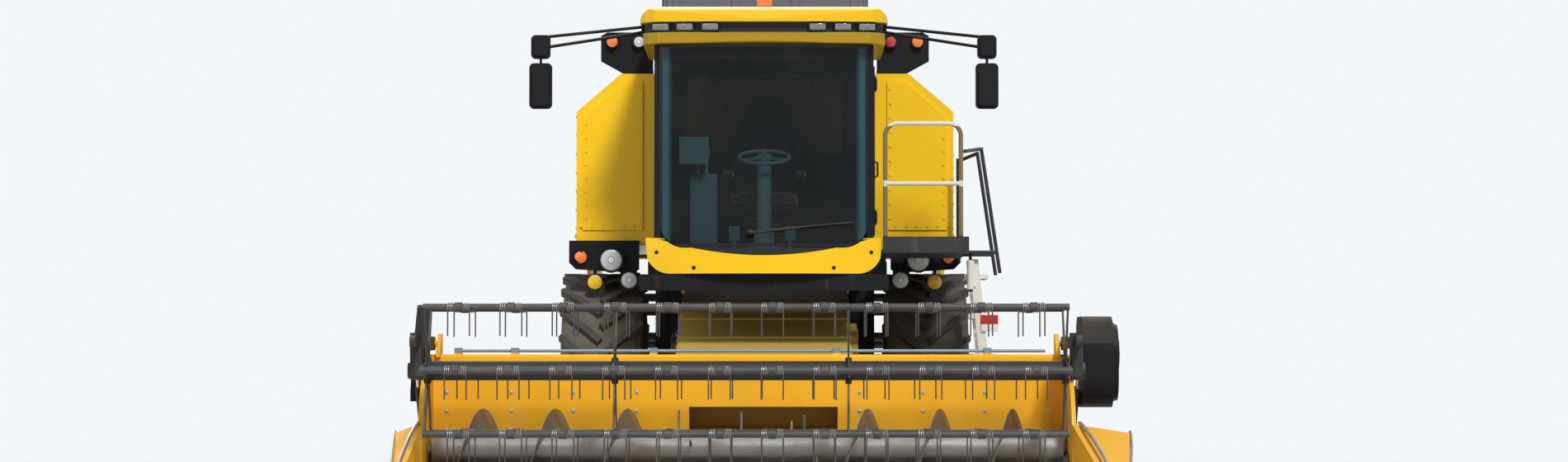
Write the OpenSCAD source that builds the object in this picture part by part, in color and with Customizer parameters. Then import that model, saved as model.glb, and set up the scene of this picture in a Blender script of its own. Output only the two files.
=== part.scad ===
// Combine harvester with a reel header, parked with the header down.
// It faces -Y, its own left side is +X, and the ground is z = 0.
// The running gear is drawn about the front axle, and place() centres the whole on Y.

/* [Wheels] */
// Distance between the front and the rear axle
wheelbase = 3600; // [3560:10:3640]
// Diameter of a front tyre over its lugs
front_tyre_d = 1780; // [1760:10:1790]
// Width of a front tyre
front_tyre_w = 650; // [620:10:660]
// Distance between the middles of the front tyres
front_track = 2550; // [2540:10:2580]
// Diameter of a rear tyre over its lugs
rear_tyre_d = 1250; // [1230:10:1260]
// Width of a rear tyre
rear_tyre_w = 400; // [380:10:410]
// Distance between the middles of the rear tyres
rear_track = 2540; // [2530:10:2550]

/* [Body] */
// Width over the side panels
body_w = 2960; // [2940:10:2970]
// Height of the flat top of the grain tank
tank_top = 3340; // [3320:10:3350]
// Front face of the grain tank
tank_front = -500; // [-505:5:-495]
// Length of the grain tank
tank_len = 2000; // [1980:10:2000]
// Width of the opening in the tank's top
hatch_w = 1600; // [1580:10:1600]

/* [Cab] */
// Width of the roof
roof_w = 1850; // [1830:10:1860]
// Width of the windscreen
screen_w = 1560; // [1540:10:1570]
// Front of the cab floor
cab_front = -1950; // [-1960:5:-1940]
// Height of the cab floor
cab_floor = 1920; // [1915:5:1930]

/* [Header] */
// Width between the header's side sheets
cut_w = 4570; // [4550:10:4580]
// Sideways offset of the cut, towards the machine's right
cut_shift = 110; // [100:5:115]
// Radius from the reel's axle to its bats
bat_r = 505; // [500:1:508]
// Length of a tine below its bat
tine_len = 200; // [190:5:200]
// Radius of the auger over its flights
flight_r = 300; // [290:5:302]

/* [Hidden] */

yellow = [0.93, 0.72, 0.08];
black = [0.07, 0.07, 0.08];
grey = [0.55, 0.56, 0.56];
steel = [0.72, 0.73, 0.74];
rubber = [0.05, 0.05, 0.05];
glass = [0.15, 0.2, 0.24];
cream = [0.85, 0.83, 0.74];

front_z = front_tyre_d / 2;
rear_z = rear_tyre_d / 2;
half_w = body_w / 2;
// The divider points reach this far forward and the spreader plate this far back
nose_y = -4420;
tail_y = 4980;
shift_y = -(nose_y + tail_y) / 2;
sheet_t = 30;
sheet_x = cut_w / 2;
overall_x = sheet_x + 315;
// Space between a piece and its seat, and round a pin
seat_gap = 0.3;
pin_gap = 0.4;
auger_y = -2990;
auger_z = 430;
trough_r = 320;
// Opening between the header and the feeder house
mouth_half = 540;
mouth_z0 = 280;
mouth_z1 = 740;
reel_y = -3870;
reel_z = 1000;
arm_z = 1200;
arm_y = -2720;
feeder_y = -350;
feeder_z = 1350;
kingpin_x = 1000;
tie_arm = 200;
tie_z = 440;
tie_r = 20;

module place() {
    translate([0, shift_y, 0]) children();
}

// Box between two corners
module box(x0, x1, y0, y1, z0, z1) {
    translate([x0, y0, z0]) cube([x1 - x0, y1 - y0, z1 - z0]);
}

// Round bar along X
module bar_x(r, x0, x1, y, z) {
    translate([x0, y, z]) rotate([0, 90, 0]) cylinder(r = r, h = x1 - x0, $fn = 40);
}

// Round bar along Y
module bar_y(r, y0, y1, x, z) {
    translate([x, y1, z]) rotate([90, 0, 0]) cylinder(r = r, h = y1 - y0, $fn = 40);
}

// Round bar along Z
module bar_z(r, z0, z1, x, y) {
    translate([x, y, z0]) cylinder(r = r, h = z1 - z0, $fn = 40);
}

// Side view outline [y, z] as a plate between x0 and x1
module side_plate(points, x0, x1) {
    translate([x0, 0, 0]) rotate([90, 0, 90]) linear_extrude(x1 - x0) polygon(points);
}

// Front view outline [x, z] as a plate between y0 and y1
module front_plate(points, y0, y1) {
    translate([0, y1, 0]) rotate([90, 0, 0]) linear_extrude(y1 - y0) polygon(points);
}

// Quarter bend of a tube, rising along +Z at the origin and leaving along +Y
module elbow(bend, r) {
    translate([0, bend, 0]) rotate([90, 0, -90])
        rotate_extrude(angle = 90, $fn = 48) translate([bend, 0]) circle(r = r, $fn = 32);
}

// Straight round bar between two points of one YZ plane
module link(r, x, a, b) {
    dy = b[0] - a[0];
    dz = b[1] - a[1];
    translate([x, a[0], a[1]]) rotate([-atan2(dy, dz), 0, 0])
        cylinder(r = r, h = norm([dy, dz]), $fn = 32);
}

// Straight round bar between any two points
module rod(r, a, b) {
    d = b - a;
    translate(a) rotate([0, acos(d[2] / norm(d)), atan2(d[1], d[0])])
        cylinder(r = r, h = norm(d), $fn = 20);
}

module both_sides() {
    children();
    mirror([1, 0, 0]) children();
}

// Points along an arc from angle a to b, with its middle at c
function arc(c, r, a, b, n = 8) =
    [for (i = [0 : n]) c + r * [cos(a + (b - a) * i / n), sin(a + (b - a) * i / n)]];

// The same on an ellipse with half axes r[0] and r[1]
function oval(c, r, a, b, n = 10) = [for (i = [0 : n])
    c + [r[0] * cos(a + (b - a) * i / n), r[1] * sin(a + (b - a) * i / n)]];

// Rectangle with round corners
function soft(x0, x1, y0, y1, r) = concat(arc([x1 - r, y1 - r], r, 0, 90, 5),
    arc([x0 + r, y1 - r], r, 90, 180, 5), arc([x0 + r, y0 + r], r, 180, 270, 5),
    arc([x1 - r, y0 + r], r, 270, 360, 5));

// Wheels
// A tyre about the X axis with lugs that meet in a chevron
module tyre(d, w, rim_d, lugs, lug_h) {
    r = d / 2;
    step = 360 / lugs;
    lug_len = w * 0.66;
    intersection() {
        union() {
            rotate([0, 90, 0]) rotate_extrude($fn = 96)
                polygon([[rim_d / 2, -w * 0.385], [rim_d / 2 + 40, -w * 0.39],
                    [r - w * 0.28, -w * 0.49], [r - lug_h - 30, -w * 0.47],
                    [r - lug_h, -w * 0.40], [r - lug_h, w * 0.40],
                    [r - lug_h - 30, w * 0.47], [r - w * 0.28, w * 0.49],
                    [rim_d / 2 + 40, w * 0.39], [rim_d / 2, w * 0.385]]);
            for (i = [0 : lugs - 1], side = [-1, 1])
                rotate([step * (i + (side > 0 ? 0.5 : 0)), 0, 0])
                    translate([side * w * 0.25, 0, r - lug_h - 12])
                        rotate([0, 0, side * 42])
                            translate([-lug_len / 2, -lug_h * 0.5, 0])
                                cube([lug_len, lug_h, lug_h + 30]);
        }
        rotate([0, 90, 0]) cylinder(r = r, h = w, center = true, $fn = 96);
    }
}

// A rim about the X axis, with its disc at dish and its bolts facing +X
module rim(d, w, dish, hub_r, bolts) {
    rotate([0, 90, 0]) difference() {
        rotate_extrude($fn = 96)
            polygon([[hub_r * hub_bore, dish - 12], [hub_r * 1.3, dish - 12],
                [d / 2 - 60, dish - 60], [d / 2 - 40, -w * 0.30], [d / 2 - 22, -w * 0.39],
                [d / 2 + 24, -w * 0.42], [d / 2 + 24, -w * 0.405], [d / 2, -w * 0.39],
                [d / 2, w * 0.39], [d / 2 + 24, w * 0.405], [d / 2 + 24, w * 0.42],
                [d / 2 - 22, w * 0.39], [d / 2 - 40, w * 0.3], [d / 2 - 50, dish - 30],
                [hub_r * 1.35, dish + 12], [hub_r * hub_bore, dish + 12]]);
        for (i = [0 : 7]) rotate([0, 0, i * 45 + 22.5])
            translate([d * 0.33, 0, dish - 90]) cylinder(r = d * 0.045, h = 140, $fn = 32);
    }
    for (i = [0 : bolts - 1]) rotate([i * 360 / bolts, 0, 0])
        translate([dish + 10, hub_r * 0.8, 0]) rotate([0, 90, 0])
            cylinder(r = 17, h = 26, $fn = 6);
}

front_bead_d = 820;
front_dish = -30;
front_hub_r = 210;
rear_bead_d = 620;
rear_dish = 20;
rear_hub_r = 120;
disc_t = 12;
// The discs are bored for the hubs at this share of the bolt flange
hub_bore = 0.45;

module front_tyre_left() {
    color(rubber) place() translate([front_track / 2, 0, front_z])
        tyre(front_tyre_d, front_tyre_w, front_bead_d, 22, 50);
}

module front_tyre_right() {
    mirror([1, 0, 0]) front_tyre_left();
}

module front_rim_left() {
    color(yellow) place() translate([front_track / 2, 0, front_z])
        rim(front_bead_d - 2 * seat_gap, front_tyre_w, front_dish, front_hub_r, 10);
}

module front_rim_right() {
    mirror([1, 0, 0]) front_rim_left();
}

module rear_tyre_left() {
    color(rubber) place() translate([rear_track / 2, wheelbase, rear_z])
        tyre(rear_tyre_d, rear_tyre_w, rear_bead_d, 20, 34);
}

module rear_tyre_right() {
    mirror([1, 0, 0]) rear_tyre_left();
}

module rear_rim_left() {
    color(yellow) place() translate([rear_track / 2, wheelbase, rear_z])
        rim(rear_bead_d - 2 * seat_gap, rear_tyre_w, rear_dish, rear_hub_r, 8);
}

module rear_rim_right() {
    mirror([1, 0, 0]) rear_rim_left();
}

// Chassis
front_disc_x = front_track / 2 + front_dish;
rail_x = 640 + seat_gap;
rail_end = wheelbase + 450;
deck_z = 1990;

module frame() {
    color(black) place() {
        both_sides() {
            box(rail_x, 740, -330, rail_end, 1000, 1140 - seat_gap);
            box(700, 920, -150, 150, 640, 1140 - seat_gap);
            translate([0, 0, front_z]) rotate([0, 90, 0]) rotate_extrude($fn = 64)
                polygon([[0, 700], [135, 700], [150, 890], [205, 905], [205, 985], [170, 1000],
                    [150, 1060], [150, front_disc_x - disc_t - 5], [0, front_disc_x - disc_t - 5]]);
            bar_x(front_hub_r * hub_bore - pin_gap, front_disc_x - 60, front_disc_x + 30, 0,
                front_z);
            // Uprights that carry the feeder house, the tank and the cab
            box(660, 740, -420, -240, 1000, deck_z - seat_gap);
            bar_x(60, 560, 662, feeder_y, feeder_z);
            box(660, 740, cab_front, -300, 1640, 1740);
            box(660, 740, cab_front + 60, cab_front + 160, 1740, cab_floor - 60 - seat_gap);
            box(660, 740, -860, -760, 1740, cab_floor - 60 - seat_gap);
            box(rail_x, 740, 3300, 3420, 1100, 1350);
            box(rail_x, 760, 3300, 3420, 1335, 1360 - seat_gap);
            // Lugs for the lift cylinders
            box(400, 440, -210, -90, 520, 800);
            box(290, 330, -210, -90, 520, 800);
            bar_x(lift_pin, 300, 430, lift_a[0], lift_a[1]);
        }
        box(-720, 720, -110, 110, 780, 940);
        box(-930, 930, cab_front - 90, cab_front + 10, 1600, 1720);
        box(-740, 740, -900, -820, 1640, 1740);
        box(-700, 700, rail_end - 150, rail_end, 1000, 1140 - seat_gap);
        box(-700, 700, 2900, 2980, 1000, 1140 - seat_gap);
        // Tow jaw with its pin hole
        difference() {
            union() {
                box(-90, 90, rail_end - 10, rail_end + 40, 760, 1100);
                box(-70, 70, rail_end + 30, rail_end + 190, 880, 920);
                box(-70, 70, rail_end + 30, rail_end + 190, 800, 840);
            }
            bar_z(16, 780, 940, 0, rail_end + 140);
        }
    }
}

drives = [
    // y, z, radius
    [1150, 1500, 250],
    [1850, 1300, 165],
    [2350, 1640, 205],
    [2650, 1240, 90],
];
belt_x = 1090;
belt_w = 34;
fan_y = 780;
fan_z = 1000;
fan_r = 170;

// Outline round two pulleys, each [y, z, radius]
function loop(p, q) = let (d = [q[0] - p[0], q[1] - p[1]], a = atan2(d[1], d[0]),
    f = acos((p[2] - q[2]) / norm(d)))
    concat(arc([p[0], p[1]], p[2], a + f, a + 360 - f, 16), arc([q[0], q[1]], q[2], a - f,
        a + f, 10));

// A belt round two pulleys, on the outside at x
module belt(p, q, x) {
    translate([x, 0, 0]) rotate([90, 0, 90]) linear_extrude(belt_w) difference() {
        polygon(loop(p + [0, 0, 9], q + [0, 0, 9]));
        polygon(loop(p - [0, 0, 9], q - [0, 0, 9]));
    }
}

// A pulley with a rim, a web with holes and a hub, turned about X from x
module pulley(r, x) {
    translate([x, 0, 0]) rotate([0, 90, 0]) difference() {
        rotate_extrude($fn = 64) polygon([[20, -6], [55, -6], [55, 14], [r - 18, 14],
            [r - 18, -4], [r, -4], [r, belt_w + 4], [r - 18, belt_w + 4], [r - 18, 24],
            [55, 24], [55, belt_w + 14], [20, belt_w + 14]]);
        if (r > 150) for (i = [0 : 4]) rotate([0, 0, i * 72])
            translate([(r + 35) / 2, 0, 5]) cylinder(r = (r - 90) * 0.32, h = 30, $fn = 32);
    }
}

module separator() {
    color(grey) place() {
        difference() {
            side_plate(concat([[-140, deck_z - seat_gap], [-140, 1140], [480, 1140]],
                arc([fan_y, 1080], 280, 190, 270, 8), [[2700, 800], [2860, 1140],
                [3290 - seat_gap, 1340], [3290 - seat_gap, deck_z - seat_gap]]), -640, 640);
            both_sides() bar_x(fan_r, 615, 641, fan_y, fan_z);
        }
        // Bolted joints of the housing's side sheets
        both_sides() {
            for (y = [420, 1420, 2080, 2900]) box(639, 652, y, y + 40, 1160, deck_z - 40);
            box(639, 652, -100, 3260, deck_z - 60, deck_z - 20);
            // Hub and stays in the fan inlet
            bar_x(60, 610, 636, fan_y, fan_z);
            for (i = [0 : 3]) translate([0, fan_y, fan_z]) rotate([i * 90 + 45, 0, 0])
                box(612, 628, 40, fan_r + 5, -9, 9);
            for (d = drives) {
                translate([0, d[0], d[1]]) pulley(d[2], belt_x);
                bar_x(35, 638, belt_x + 70, d[0], d[1]);
                bar_x(70, 638, 690, d[0], d[1]);
            }
            belt(drives[0], drives[1], belt_x);
            belt(drives[2], drives[3], belt_x);
        }
    }
}

module engine() {
    color(grey) place() box(-520, 620, 1750, 2650, deck_z, 2540);
}

// Grain tank
tank_back = tank_front + tank_len;
recess_x = 1000;
recess_z = 2760;
hatch_y0 = tank_front + 70;
hatch_y1 = tank_back - 70;

module grain_tank() {
    color(yellow) place() {
        difference() {
            front_plate([[-half_w, deck_z], [-half_w, 3040], [-1130, tank_top],
                [1130, tank_top], [half_w, 3040], [half_w, deck_z]], tank_front, tank_back);
            // Room for the folded unloading auger
            box(recess_x, half_w + 10, tank_front + 160, tank_back + 10, recess_z,
                tank_top + 10);
            // Grain space with a hopper floor
            front_plate([[-250, 2080], [-half_w + 50, 2700], [-half_w + 50, 3020],
                [-1110, tank_top - 40], [-hatch_w / 2, tank_top - 40],
                [-hatch_w / 2, tank_top + 10], [hatch_w / 2, tank_top + 10],
                [hatch_w / 2, tank_top - 40], [recess_x - 40, tank_top - 40],
                [recess_x - 40, recess_z - 60], [half_w - 50, recess_z - 60], [250, 2080]],
                hatch_y0, hatch_y1);
        }
        // Pressed front panels beside the cab
        both_sides() front_plate([[960, 2110], [960, 3270], [1115, 3270], [half_w - 50, 2985],
            [half_w - 50, 2110]], tank_front - 14, tank_front + 2);
        // Pressed ribs along the sides
        for (s = [-1, 1], y = [-260, 60, 380, 700, 1020, 1340])
            box(s * (half_w - 1) - 8, s * (half_w - 1) + 8, y, y + 70, 2120, s > 0 ? 2730 : 3000);
        both_sides() box(half_w - 8, half_w + 9, tank_front + 40, tank_back - 40, 2040, 2085);
        // Coamings with the cover pins
        both_sides() {
            box(hatch_w / 2, hatch_w / 2 + 8, hatch_y0 + 40, hatch_y1 - 40, tank_top - 5,
                tank_top + 20);
            for (y = cover_eyes) {
                box(cover_pin_x - 10, cover_pin_x + 10, y - 52, y - 42, tank_top - 5,
                    cover_z + 10);
                box(cover_pin_x - 10, cover_pin_x + 10, y + 42, y + 52, tank_top - 5,
                    cover_z + 10);
                bar_y(7, y - 50, y + 50, cover_pin_x, cover_z);
            }
        }
        for (y = [end_pin_y0, end_pin_y1], x = [-500, 500]) {
            box(x - 52, x - 42, y - 10, y + 10, tank_top - 5, end_pin_z + 10);
            box(x + 42, x + 52, y - 10, y + 10, tank_top - 5, end_pin_z + 10);
            bar_x(7, x - 50, x + 50, y, end_pin_z);
        }
        // Hinge pins of the side shields
        for (s = [-1, 1], y = shield_eyes) {
            box(s * shield_pin_x - 9, s * shield_pin_x + 9, y - 52, y - 42, shield_pin_z - 9,
                deck_z + 30);
            box(s * shield_pin_x - 9, s * shield_pin_x + 9, y + 42, y + 52, shield_pin_z - 9,
                deck_z + 30);
            bar_y(6, y - 50, y + 50, s * shield_pin_x, shield_pin_z);
        }
    }
}

cover_t = 22;
cover_h = 800;
cover_z = tank_top + 70;
cover_pin_x = hatch_w / 2 + 20;
cover_eyes = [hatch_y0 + 260, hatch_y1 - 260];
end_pin_z = tank_top + 16;
end_pin_y0 = hatch_y0 - 14;
end_pin_y1 = hatch_y1 + 14;
shield_pin_x = half_w + 4;
shield_pin_z = deck_z - 22;
shield_eyes = [1000, 1400];

// Side covers stand open, hinged along the hatch's edges
module cover_left() {
    y0 = hatch_y0 + 26;
    y1 = hatch_y1 - 26;
    top = cover_z + cover_h;
    color(grey) place() {
        difference() {
            box(hatch_w / 2 - cover_t, hatch_w / 2, y0, y1, cover_z + 16, top);
            // Pressed fields between the ribs
            for (i = [0 : 2]) box(hatch_w / 2 - 8, hatch_w / 2 + 1, y0 + 60 + i * 600,
                y0 + 540 + i * 600, cover_z + 70, top - 60);
        }
        for (y = [hatch_y0 + 140, (hatch_y0 + hatch_y1) / 2, hatch_y1 - 140])
            box(hatch_w / 2 - 2, hatch_w / 2 + 16, y - 25, y + 25, cover_z + 40, top - 20);
        for (y = cover_eyes) difference() {
            union() {
                bar_y(14, y - 40, y + 40, cover_pin_x, cover_z);
                box(hatch_w / 2 - 4, cover_pin_x, y - 40, y + 40, cover_z, cover_z + 14);
                box(hatch_w / 2 - 4, hatch_w / 2 + 6, y - 40, y + 40, cover_z, cover_z + 60);
            }
            bar_y(7 + pin_gap, y - 41, y + 41, cover_pin_x, cover_z);
        }
    }
}

module cover_right() {
    mirror([1, 0, 0]) cover_left();
}

// An end cover standing open, drawn about its pin with the hatch towards +Y.
// It is hinged lower, so it lies under the side covers when shut.
module end_cover() {
    difference() {
        union() {
            box(-hatch_w / 2 + 30, hatch_w / 2 - 30, 12, 32, 20, 790);
            for (x = [-700, -235, 235, 700]) box(x - 25, x + 25, -4, 14, 60, 740);
            box(-725, 725, -4, 14, 700, 740);
            for (x = [-500, 500]) {
                bar_x(11, x - 40, x + 40, 0, 0);
                box(x - 40, x + 40, -8, 12, 0, 60);
            }
        }
        for (x = [-500, 500]) bar_x(7 + pin_gap, x - 41, x + 41, 0, 0);
    }
}

module cover_front() {
    color(grey) place() translate([0, end_pin_y0, end_pin_z]) end_cover();
}

module cover_rear() {
    color(grey) place() translate([0, end_pin_y1, end_pin_z]) mirror([0, 1, 0]) end_cover();
}

// Unloading auger folded back along the left shoulder
pivot_x = 1220;
pivot_y = 0;
tube_r = 150;
tube_z = 2990;
tube_end = 4350;

module unloading_auger() {
    color(yellow) place() {
        bar_z(tube_r + 10, recess_z + pin_gap, tube_z, pivot_x, pivot_y);
        bar_z(tube_r + 34, recess_z + pin_gap, recess_z + 26, pivot_x, pivot_y);
        translate([pivot_x, pivot_y, tube_z]) sphere(r = tube_r + 10, $fn = 48);
        bar_y(tube_r, pivot_y, tube_end, pivot_x, tube_z);
        for (y = [190, 700, 2200, 3300, tube_end - 40])
            bar_y(tube_r + 16, y, y + 34, pivot_x, tube_z);
        // Bearing cap on the end and the seam along the tube
        translate([pivot_x, tube_end - 7, tube_z]) rotate([-90, 0, 0]) rotate_extrude($fn = 48)
            polygon([[0, 0], [tube_r + 16, 0], [tube_r + 4, 14], [70, 20], [55, 46], [0, 46]]);
        box(pivot_x - 20, pivot_x + 20, 220, tube_end - 20, tube_z + tube_r - 6,
            tube_z + tube_r + 8);
        // Spout turned down at the end, flared at its mouth
        translate([pivot_x, tube_end - tube_r, tube_z - 340]) difference() {
            rotate_extrude($fn = 48) polygon([[0, 0], [tube_r + 6, 0], [tube_r - 12, 60],
                [tube_r - 12, 340], [0, 340]]);
            translate([0, 0, -1]) cylinder(r = tube_r - 24, h = 120, $fn = 48);
        }
    }
}

// Cab
cab_top = 3440;
screen_r = 2400;
screen_y = cab_front + screen_r - 130;
screen_t = 10;
screen_z = 1925;
screen_corner = 190;
// Where the screen's inner face ends, so the front pillars start there
screen_edge = screen_y - sqrt(pow(screen_r - screen_t, 2) - pow(screen_w / 2, 2)) + seat_gap;
door_y0 = screen_edge + 82;
door_y1 = door_y0 + 740;
pillar_y = door_y1 + 2;

module cab_frame() {
    color(black) place() {
        box(-820, 820, cab_front, -640, cab_floor - 60, cab_floor);
        difference() {
            box(-820, 820, -690, -640, cab_floor - 10, cab_top);
            box(-600, 600, -700, -630, 2700, 3300);
        }
        both_sides() {
            box(screen_w / 2 - 12, 820, screen_edge, screen_edge + 80, cab_floor - 10, cab_top);
            box(750, 820, screen_edge, -640, cab_top - 70, cab_top);
            box(770, 820, pillar_y, pillar_y + 60, cab_floor - 10, cab_top);
        }
        box(-820, 820, screen_edge, screen_edge + 80, cab_top - 70, cab_top);
        box(-820, -770, screen_edge + 70, -680, cab_floor - 10, 2120);
        // Door hinge pins
        for (z = door_hinges) {
            bar_z(6, z - 50, z + 50, door_pin_x, door_pin_y);
            box(818, door_pin_x + 8, door_pin_y - 8, door_pin_y + 8, z - 56, z - 42);
            box(818, door_pin_x + 8, door_pin_y - 8, door_pin_y + 8, z + 42, z + 56);
        }
    }
}

module windscreen() {
    w = screen_w / 2;
    color(glass) place() intersection() {
        difference() {
            translate([0, screen_y, screen_z]) cylinder(r = screen_r, h = 1510, $fn = 200);
            translate([0, screen_y, screen_z - 5]) cylinder(r = screen_r - screen_t, h = 1520,
                $fn = 200);
        }
        front_plate(concat(arc([w - screen_corner, screen_z + screen_corner], screen_corner, 270, 360),
            [[w, cab_top], [-w, cab_top]],
            arc([screen_corner - w, screen_z + screen_corner], screen_corner, 180, 270)),
            cab_front - 200, cab_front + 40);
    }
}

module cab_glass() {
    g = seat_gap;
    color(glass) place() {
        box(-810, -798, screen_edge + 80 + g, pillar_y - g, 2120 + g, cab_top - 70 - g);
        box(-810, -798, pillar_y + 60 + g, -690 - g, 2120 + g, cab_top - 70 - g);
        box(798, 810, pillar_y + 60 + g, -690 - g, cab_floor + g, cab_top - 70 - g);
        box(-600 + g, 600 - g, -670, -662, 2700 + g, 3300 - g);
    }
}

door_pin_x = 836;
door_hinges = [2150, 3150];
door_pin_y = door_y0 - 14;

module cab_door() {
    color(black) place() {
        difference() {
            box(790, 822, door_y0, door_y1, cab_floor + 10, cab_top - 76);
            box(780, 830, door_y0 + 50, door_y1 - 50, cab_floor + 70, cab_top - 126);
        }
        // Hinge leaves on the front pillar's side
        for (z = door_hinges) difference() {
            union() {
                bar_z(13, z - 40, z + 40, door_pin_x, door_pin_y);
                box(820, door_pin_x + 4, door_pin_y, door_y0 + 40, z - 40, z + 40);
            }
            bar_z(6 + pin_gap, z - 41, z + 41, door_pin_x, door_pin_y);
        }
        box(821, 850, door_y1 - 42, door_y1 - 12, 2480, 2620);
    }
}

module door_glass() {
    g = seat_gap;
    color(glass) place()
        box(800, 810, door_y0 + 50 + g, door_y1 - 50 - g, cab_floor + 70 + g, cab_top - 126 - g);
}

// The chin under the screen, with its ends turned up round the screen's corners
module cab_bumper() {
    w = screen_w / 2;
    c = screen_z + screen_corner;
    color(yellow) place() difference() {
        front_plate(concat(arc([700, 1905], 180, 270, 340), [[884, 1990], [872, 1996]],
            arc([w - screen_corner, c], screen_corner + 8, 320, 270),
            arc([screen_corner - w, c], screen_corner + 8, 270, 220),
            [[-872, 1996], [-884, 1990]], arc([-700, 1905], 180, 200, 270)),
            cab_front - 190, cab_front - seat_gap);
        translate([0, screen_y, 1700]) difference() {
            cylinder(r = screen_r + 600, h = 400, $fn = 160);
            cylinder(r = screen_r + 55, h = 400, $fn = 160);
        }
        // Hollow behind, with a step that leaves the lower lip standing
        translate([0, screen_y, 1700]) intersection() {
            cylinder(r = screen_r + 20, h = 195, $fn = 160);
            box(-800, 800, -3000, -2300, 45, 195);
        }
    }
}

module cab_roof() {
    r = roof_w / 2;
    nose = cab_front - 190;
    color(yellow) place() {
        // Visor, with its front bowed and its underside turned up
        intersection() {
            side_plate(concat([[cab_front - 90, cab_top + seat_gap]],
                arc([nose + 42, cab_top + 42], 41, 250, 95, 6), [[-560, cab_top + 83],
                [-560, cab_top + seat_gap]]), -r + 20, r - 20);
            roof_plan(r - 20, 12);
        }
        // Band that carries the lamps
        intersection() {
            box(-r + 30, r - 30, cab_front - 130, -580, 3520, 3612);
            roof_plan(r - 30, 60);
        }
        // Crown, falling to the sides and to the front
        intersection() {
            side_plate(concat([[-560, 3600], [nose, 3600]], oval([nose + 260, 3620],
                [260, 110], 180, 100, 8), [[-1300, 3750], [-800, 3745]],
                oval([-720, 3620], [160, 110], 80, 0, 6)), -r, r);
            front_plate(concat([[-r, 3598], [r, 3598]], oval([r - 300, 3615], [300, 135], 0, 90, 8),
                oval([300 - r, 3615], [300, 135], 90, 180, 8)), nose - 10, -550);
            roof_plan(r, 0);
        }
        // Hatch over the ventilator
        translate([0, 0, 3740]) linear_extrude(24) polygon(soft(-280, 280, -1560, -1230, 60));
    }
}

// Plan of the roof, its front bowed as the screen is and set back by back
module roof_plan(half, back) {
    nose = cab_front - 190 + back;
    bow = 60;
    big = (half * half + bow * bow) / (2 * bow);
    side = asin((half - 110) / big);
    translate([0, 0, 3400]) linear_extrude(400)
        polygon(concat(arc([0, nose + big], big, 270 - side, 270 + side, 12),
            arc([half - 120, nose + 190], 120, 300, 360, 5), arc([half - 90, -650], 90, 0, 90, 5),
            arc([90 - half, -650], 90, 90, 180, 5),
            arc([120 - half, nose + 190], 120, 180, 240, 5)));
}

lamp_x = [400, 590, 770];

// x, z, radius and depth of the round lamps in each light bar
round_lamps = [
    [1200, 1870, 100, 50],
    [1060, 1712, 78, 92],
    [1452, 1898, 46, 40],
];

// Block as large as a work lamp, drawn in by edge on each side
module lamp_block(x, edge) {
    translate([0, cab_front - 20, 0]) rotate([90, 0, 0]) linear_extrude(220)
        polygon(soft(x - 70 + edge, x + 70 - edge, 3527 + edge, 3597 - edge, 18 - edge / 2));
}

// A lamp bowl with a rim, facing -Y from y
module bowl(r, depth, x, y, z) {
    translate([x, y, z]) rotate([90, 0, 0]) rotate_extrude($fn = 48)
        polygon([[0, 0], [r * 0.7, 0], [r, depth * 0.6], [r, depth], [r - 10, depth],
            [r - 14, depth - 14], [0, depth - 14]]);
}

module lamps() {
    face = tank_front - 90;
    color(black) place() {
        // Work lamps in the roof band
        for (x = lamp_x) both_sides() difference() {
            intersection() {
                lamp_block(x, 0);
                roof_plan(roof_w / 2 - 30, 12);
            }
            roof_plan(roof_w / 2 - 30, 60 - seat_gap);
            difference() {
                lamp_block(x, 9);
                roof_plan(roof_w / 2 - 30, 20);
            }
        }
        both_sides() {
            // Light bars below the shoulder panels
            front_plate([[985, 2024], [985, 1800], [1030, 1772], [1480, 1800], [1532, 1850],
                [1532, 2024]], face, tank_front - 15);
            box(1000, 1460, tank_front - 16, tank_front - seat_gap, 1800, 2020);
            front_plate([[1000, 1810], [1140, 1810], [1110, 1650], [1010, 1650]],
                tank_front - 60, tank_front - 30);
            for (l = round_lamps)
                bowl(l[2], l[3], l[0], (l[1] < 1750 ? tank_front - 58 : face + 1), l[1]);
            // Corner plates beside the cab roof with their lamps
            front_plate([[880, tank_top + seat_gap], [1110, tank_top + seat_gap],
                [1290, tank_top + 100], [1290, tank_top + 300], [1240, tank_top + 328],
                [930, tank_top + 328], [880, tank_top + 260]], tank_front + 20,
                tank_front + 50);
            box(880, 1110, tank_front + 20, tank_front + 120, tank_top + seat_gap,
                tank_top + 30);
            for (x = [990, 1200]) bowl(50, 46, x, tank_front + 21, tank_top + 250);
            // Rear clusters on the straw hood's sides
            box(760 + seat_gap, 1080, 3990, 4030, 1860, 2000);
            for (x = [830, 940, 1030]) translate([x, 4065, 1930]) mirror([0, 1, 0])
                bowl(40, 36, 0, 36, 0);
        }
    }
}

module beacon() {
    color([0.95, 0.5, 0.05]) place() {
        bar_z(70, 3749.5, 3770, 0, -1100);
        bar_z(60, 3765, 3860, 0, -1100);
    }
}

seat_z = 2250;

module seat() {
    color(black) place() {
        // Boxed suspension on a base plate
        box(-190, 190, -1220, -850, cab_floor + seat_gap, cab_floor + 40);
        box(-150, 150, -1180, -880, cab_floor + 30, seat_z);
        // Cushion with a round front edge, and a leaning back with a head rest
        side_plate(concat([[-800, seat_z], [-800, seat_z + 120]], arc([-1230, seat_z + 60], 60, 90, 270, 8)),
            -260, 260);
        side_plate(concat([[-880, 2340], [-885, 2420], [-860, 2900]],
            arc([-815, 2930], 45, 180, 10, 7), [[-790, 2340]]), -250, 250);
        side_plate(concat([[-868, 2960]], arc([-828, 3085], 38, 180, 0, 6), [[-800, 2960]]),
            -140, 140);
        both_sides() {
            side_plate(concat(arc([-1210, 2510], 28, 90, 270, 5), [[-810, 2482], [-810, 2538]]),
                235, 320);
            side_plate([[-860, 2300], [-800, 2300], [-800, 2500], [-880, 2500]], 240, 300);
        }
    }
}

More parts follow.
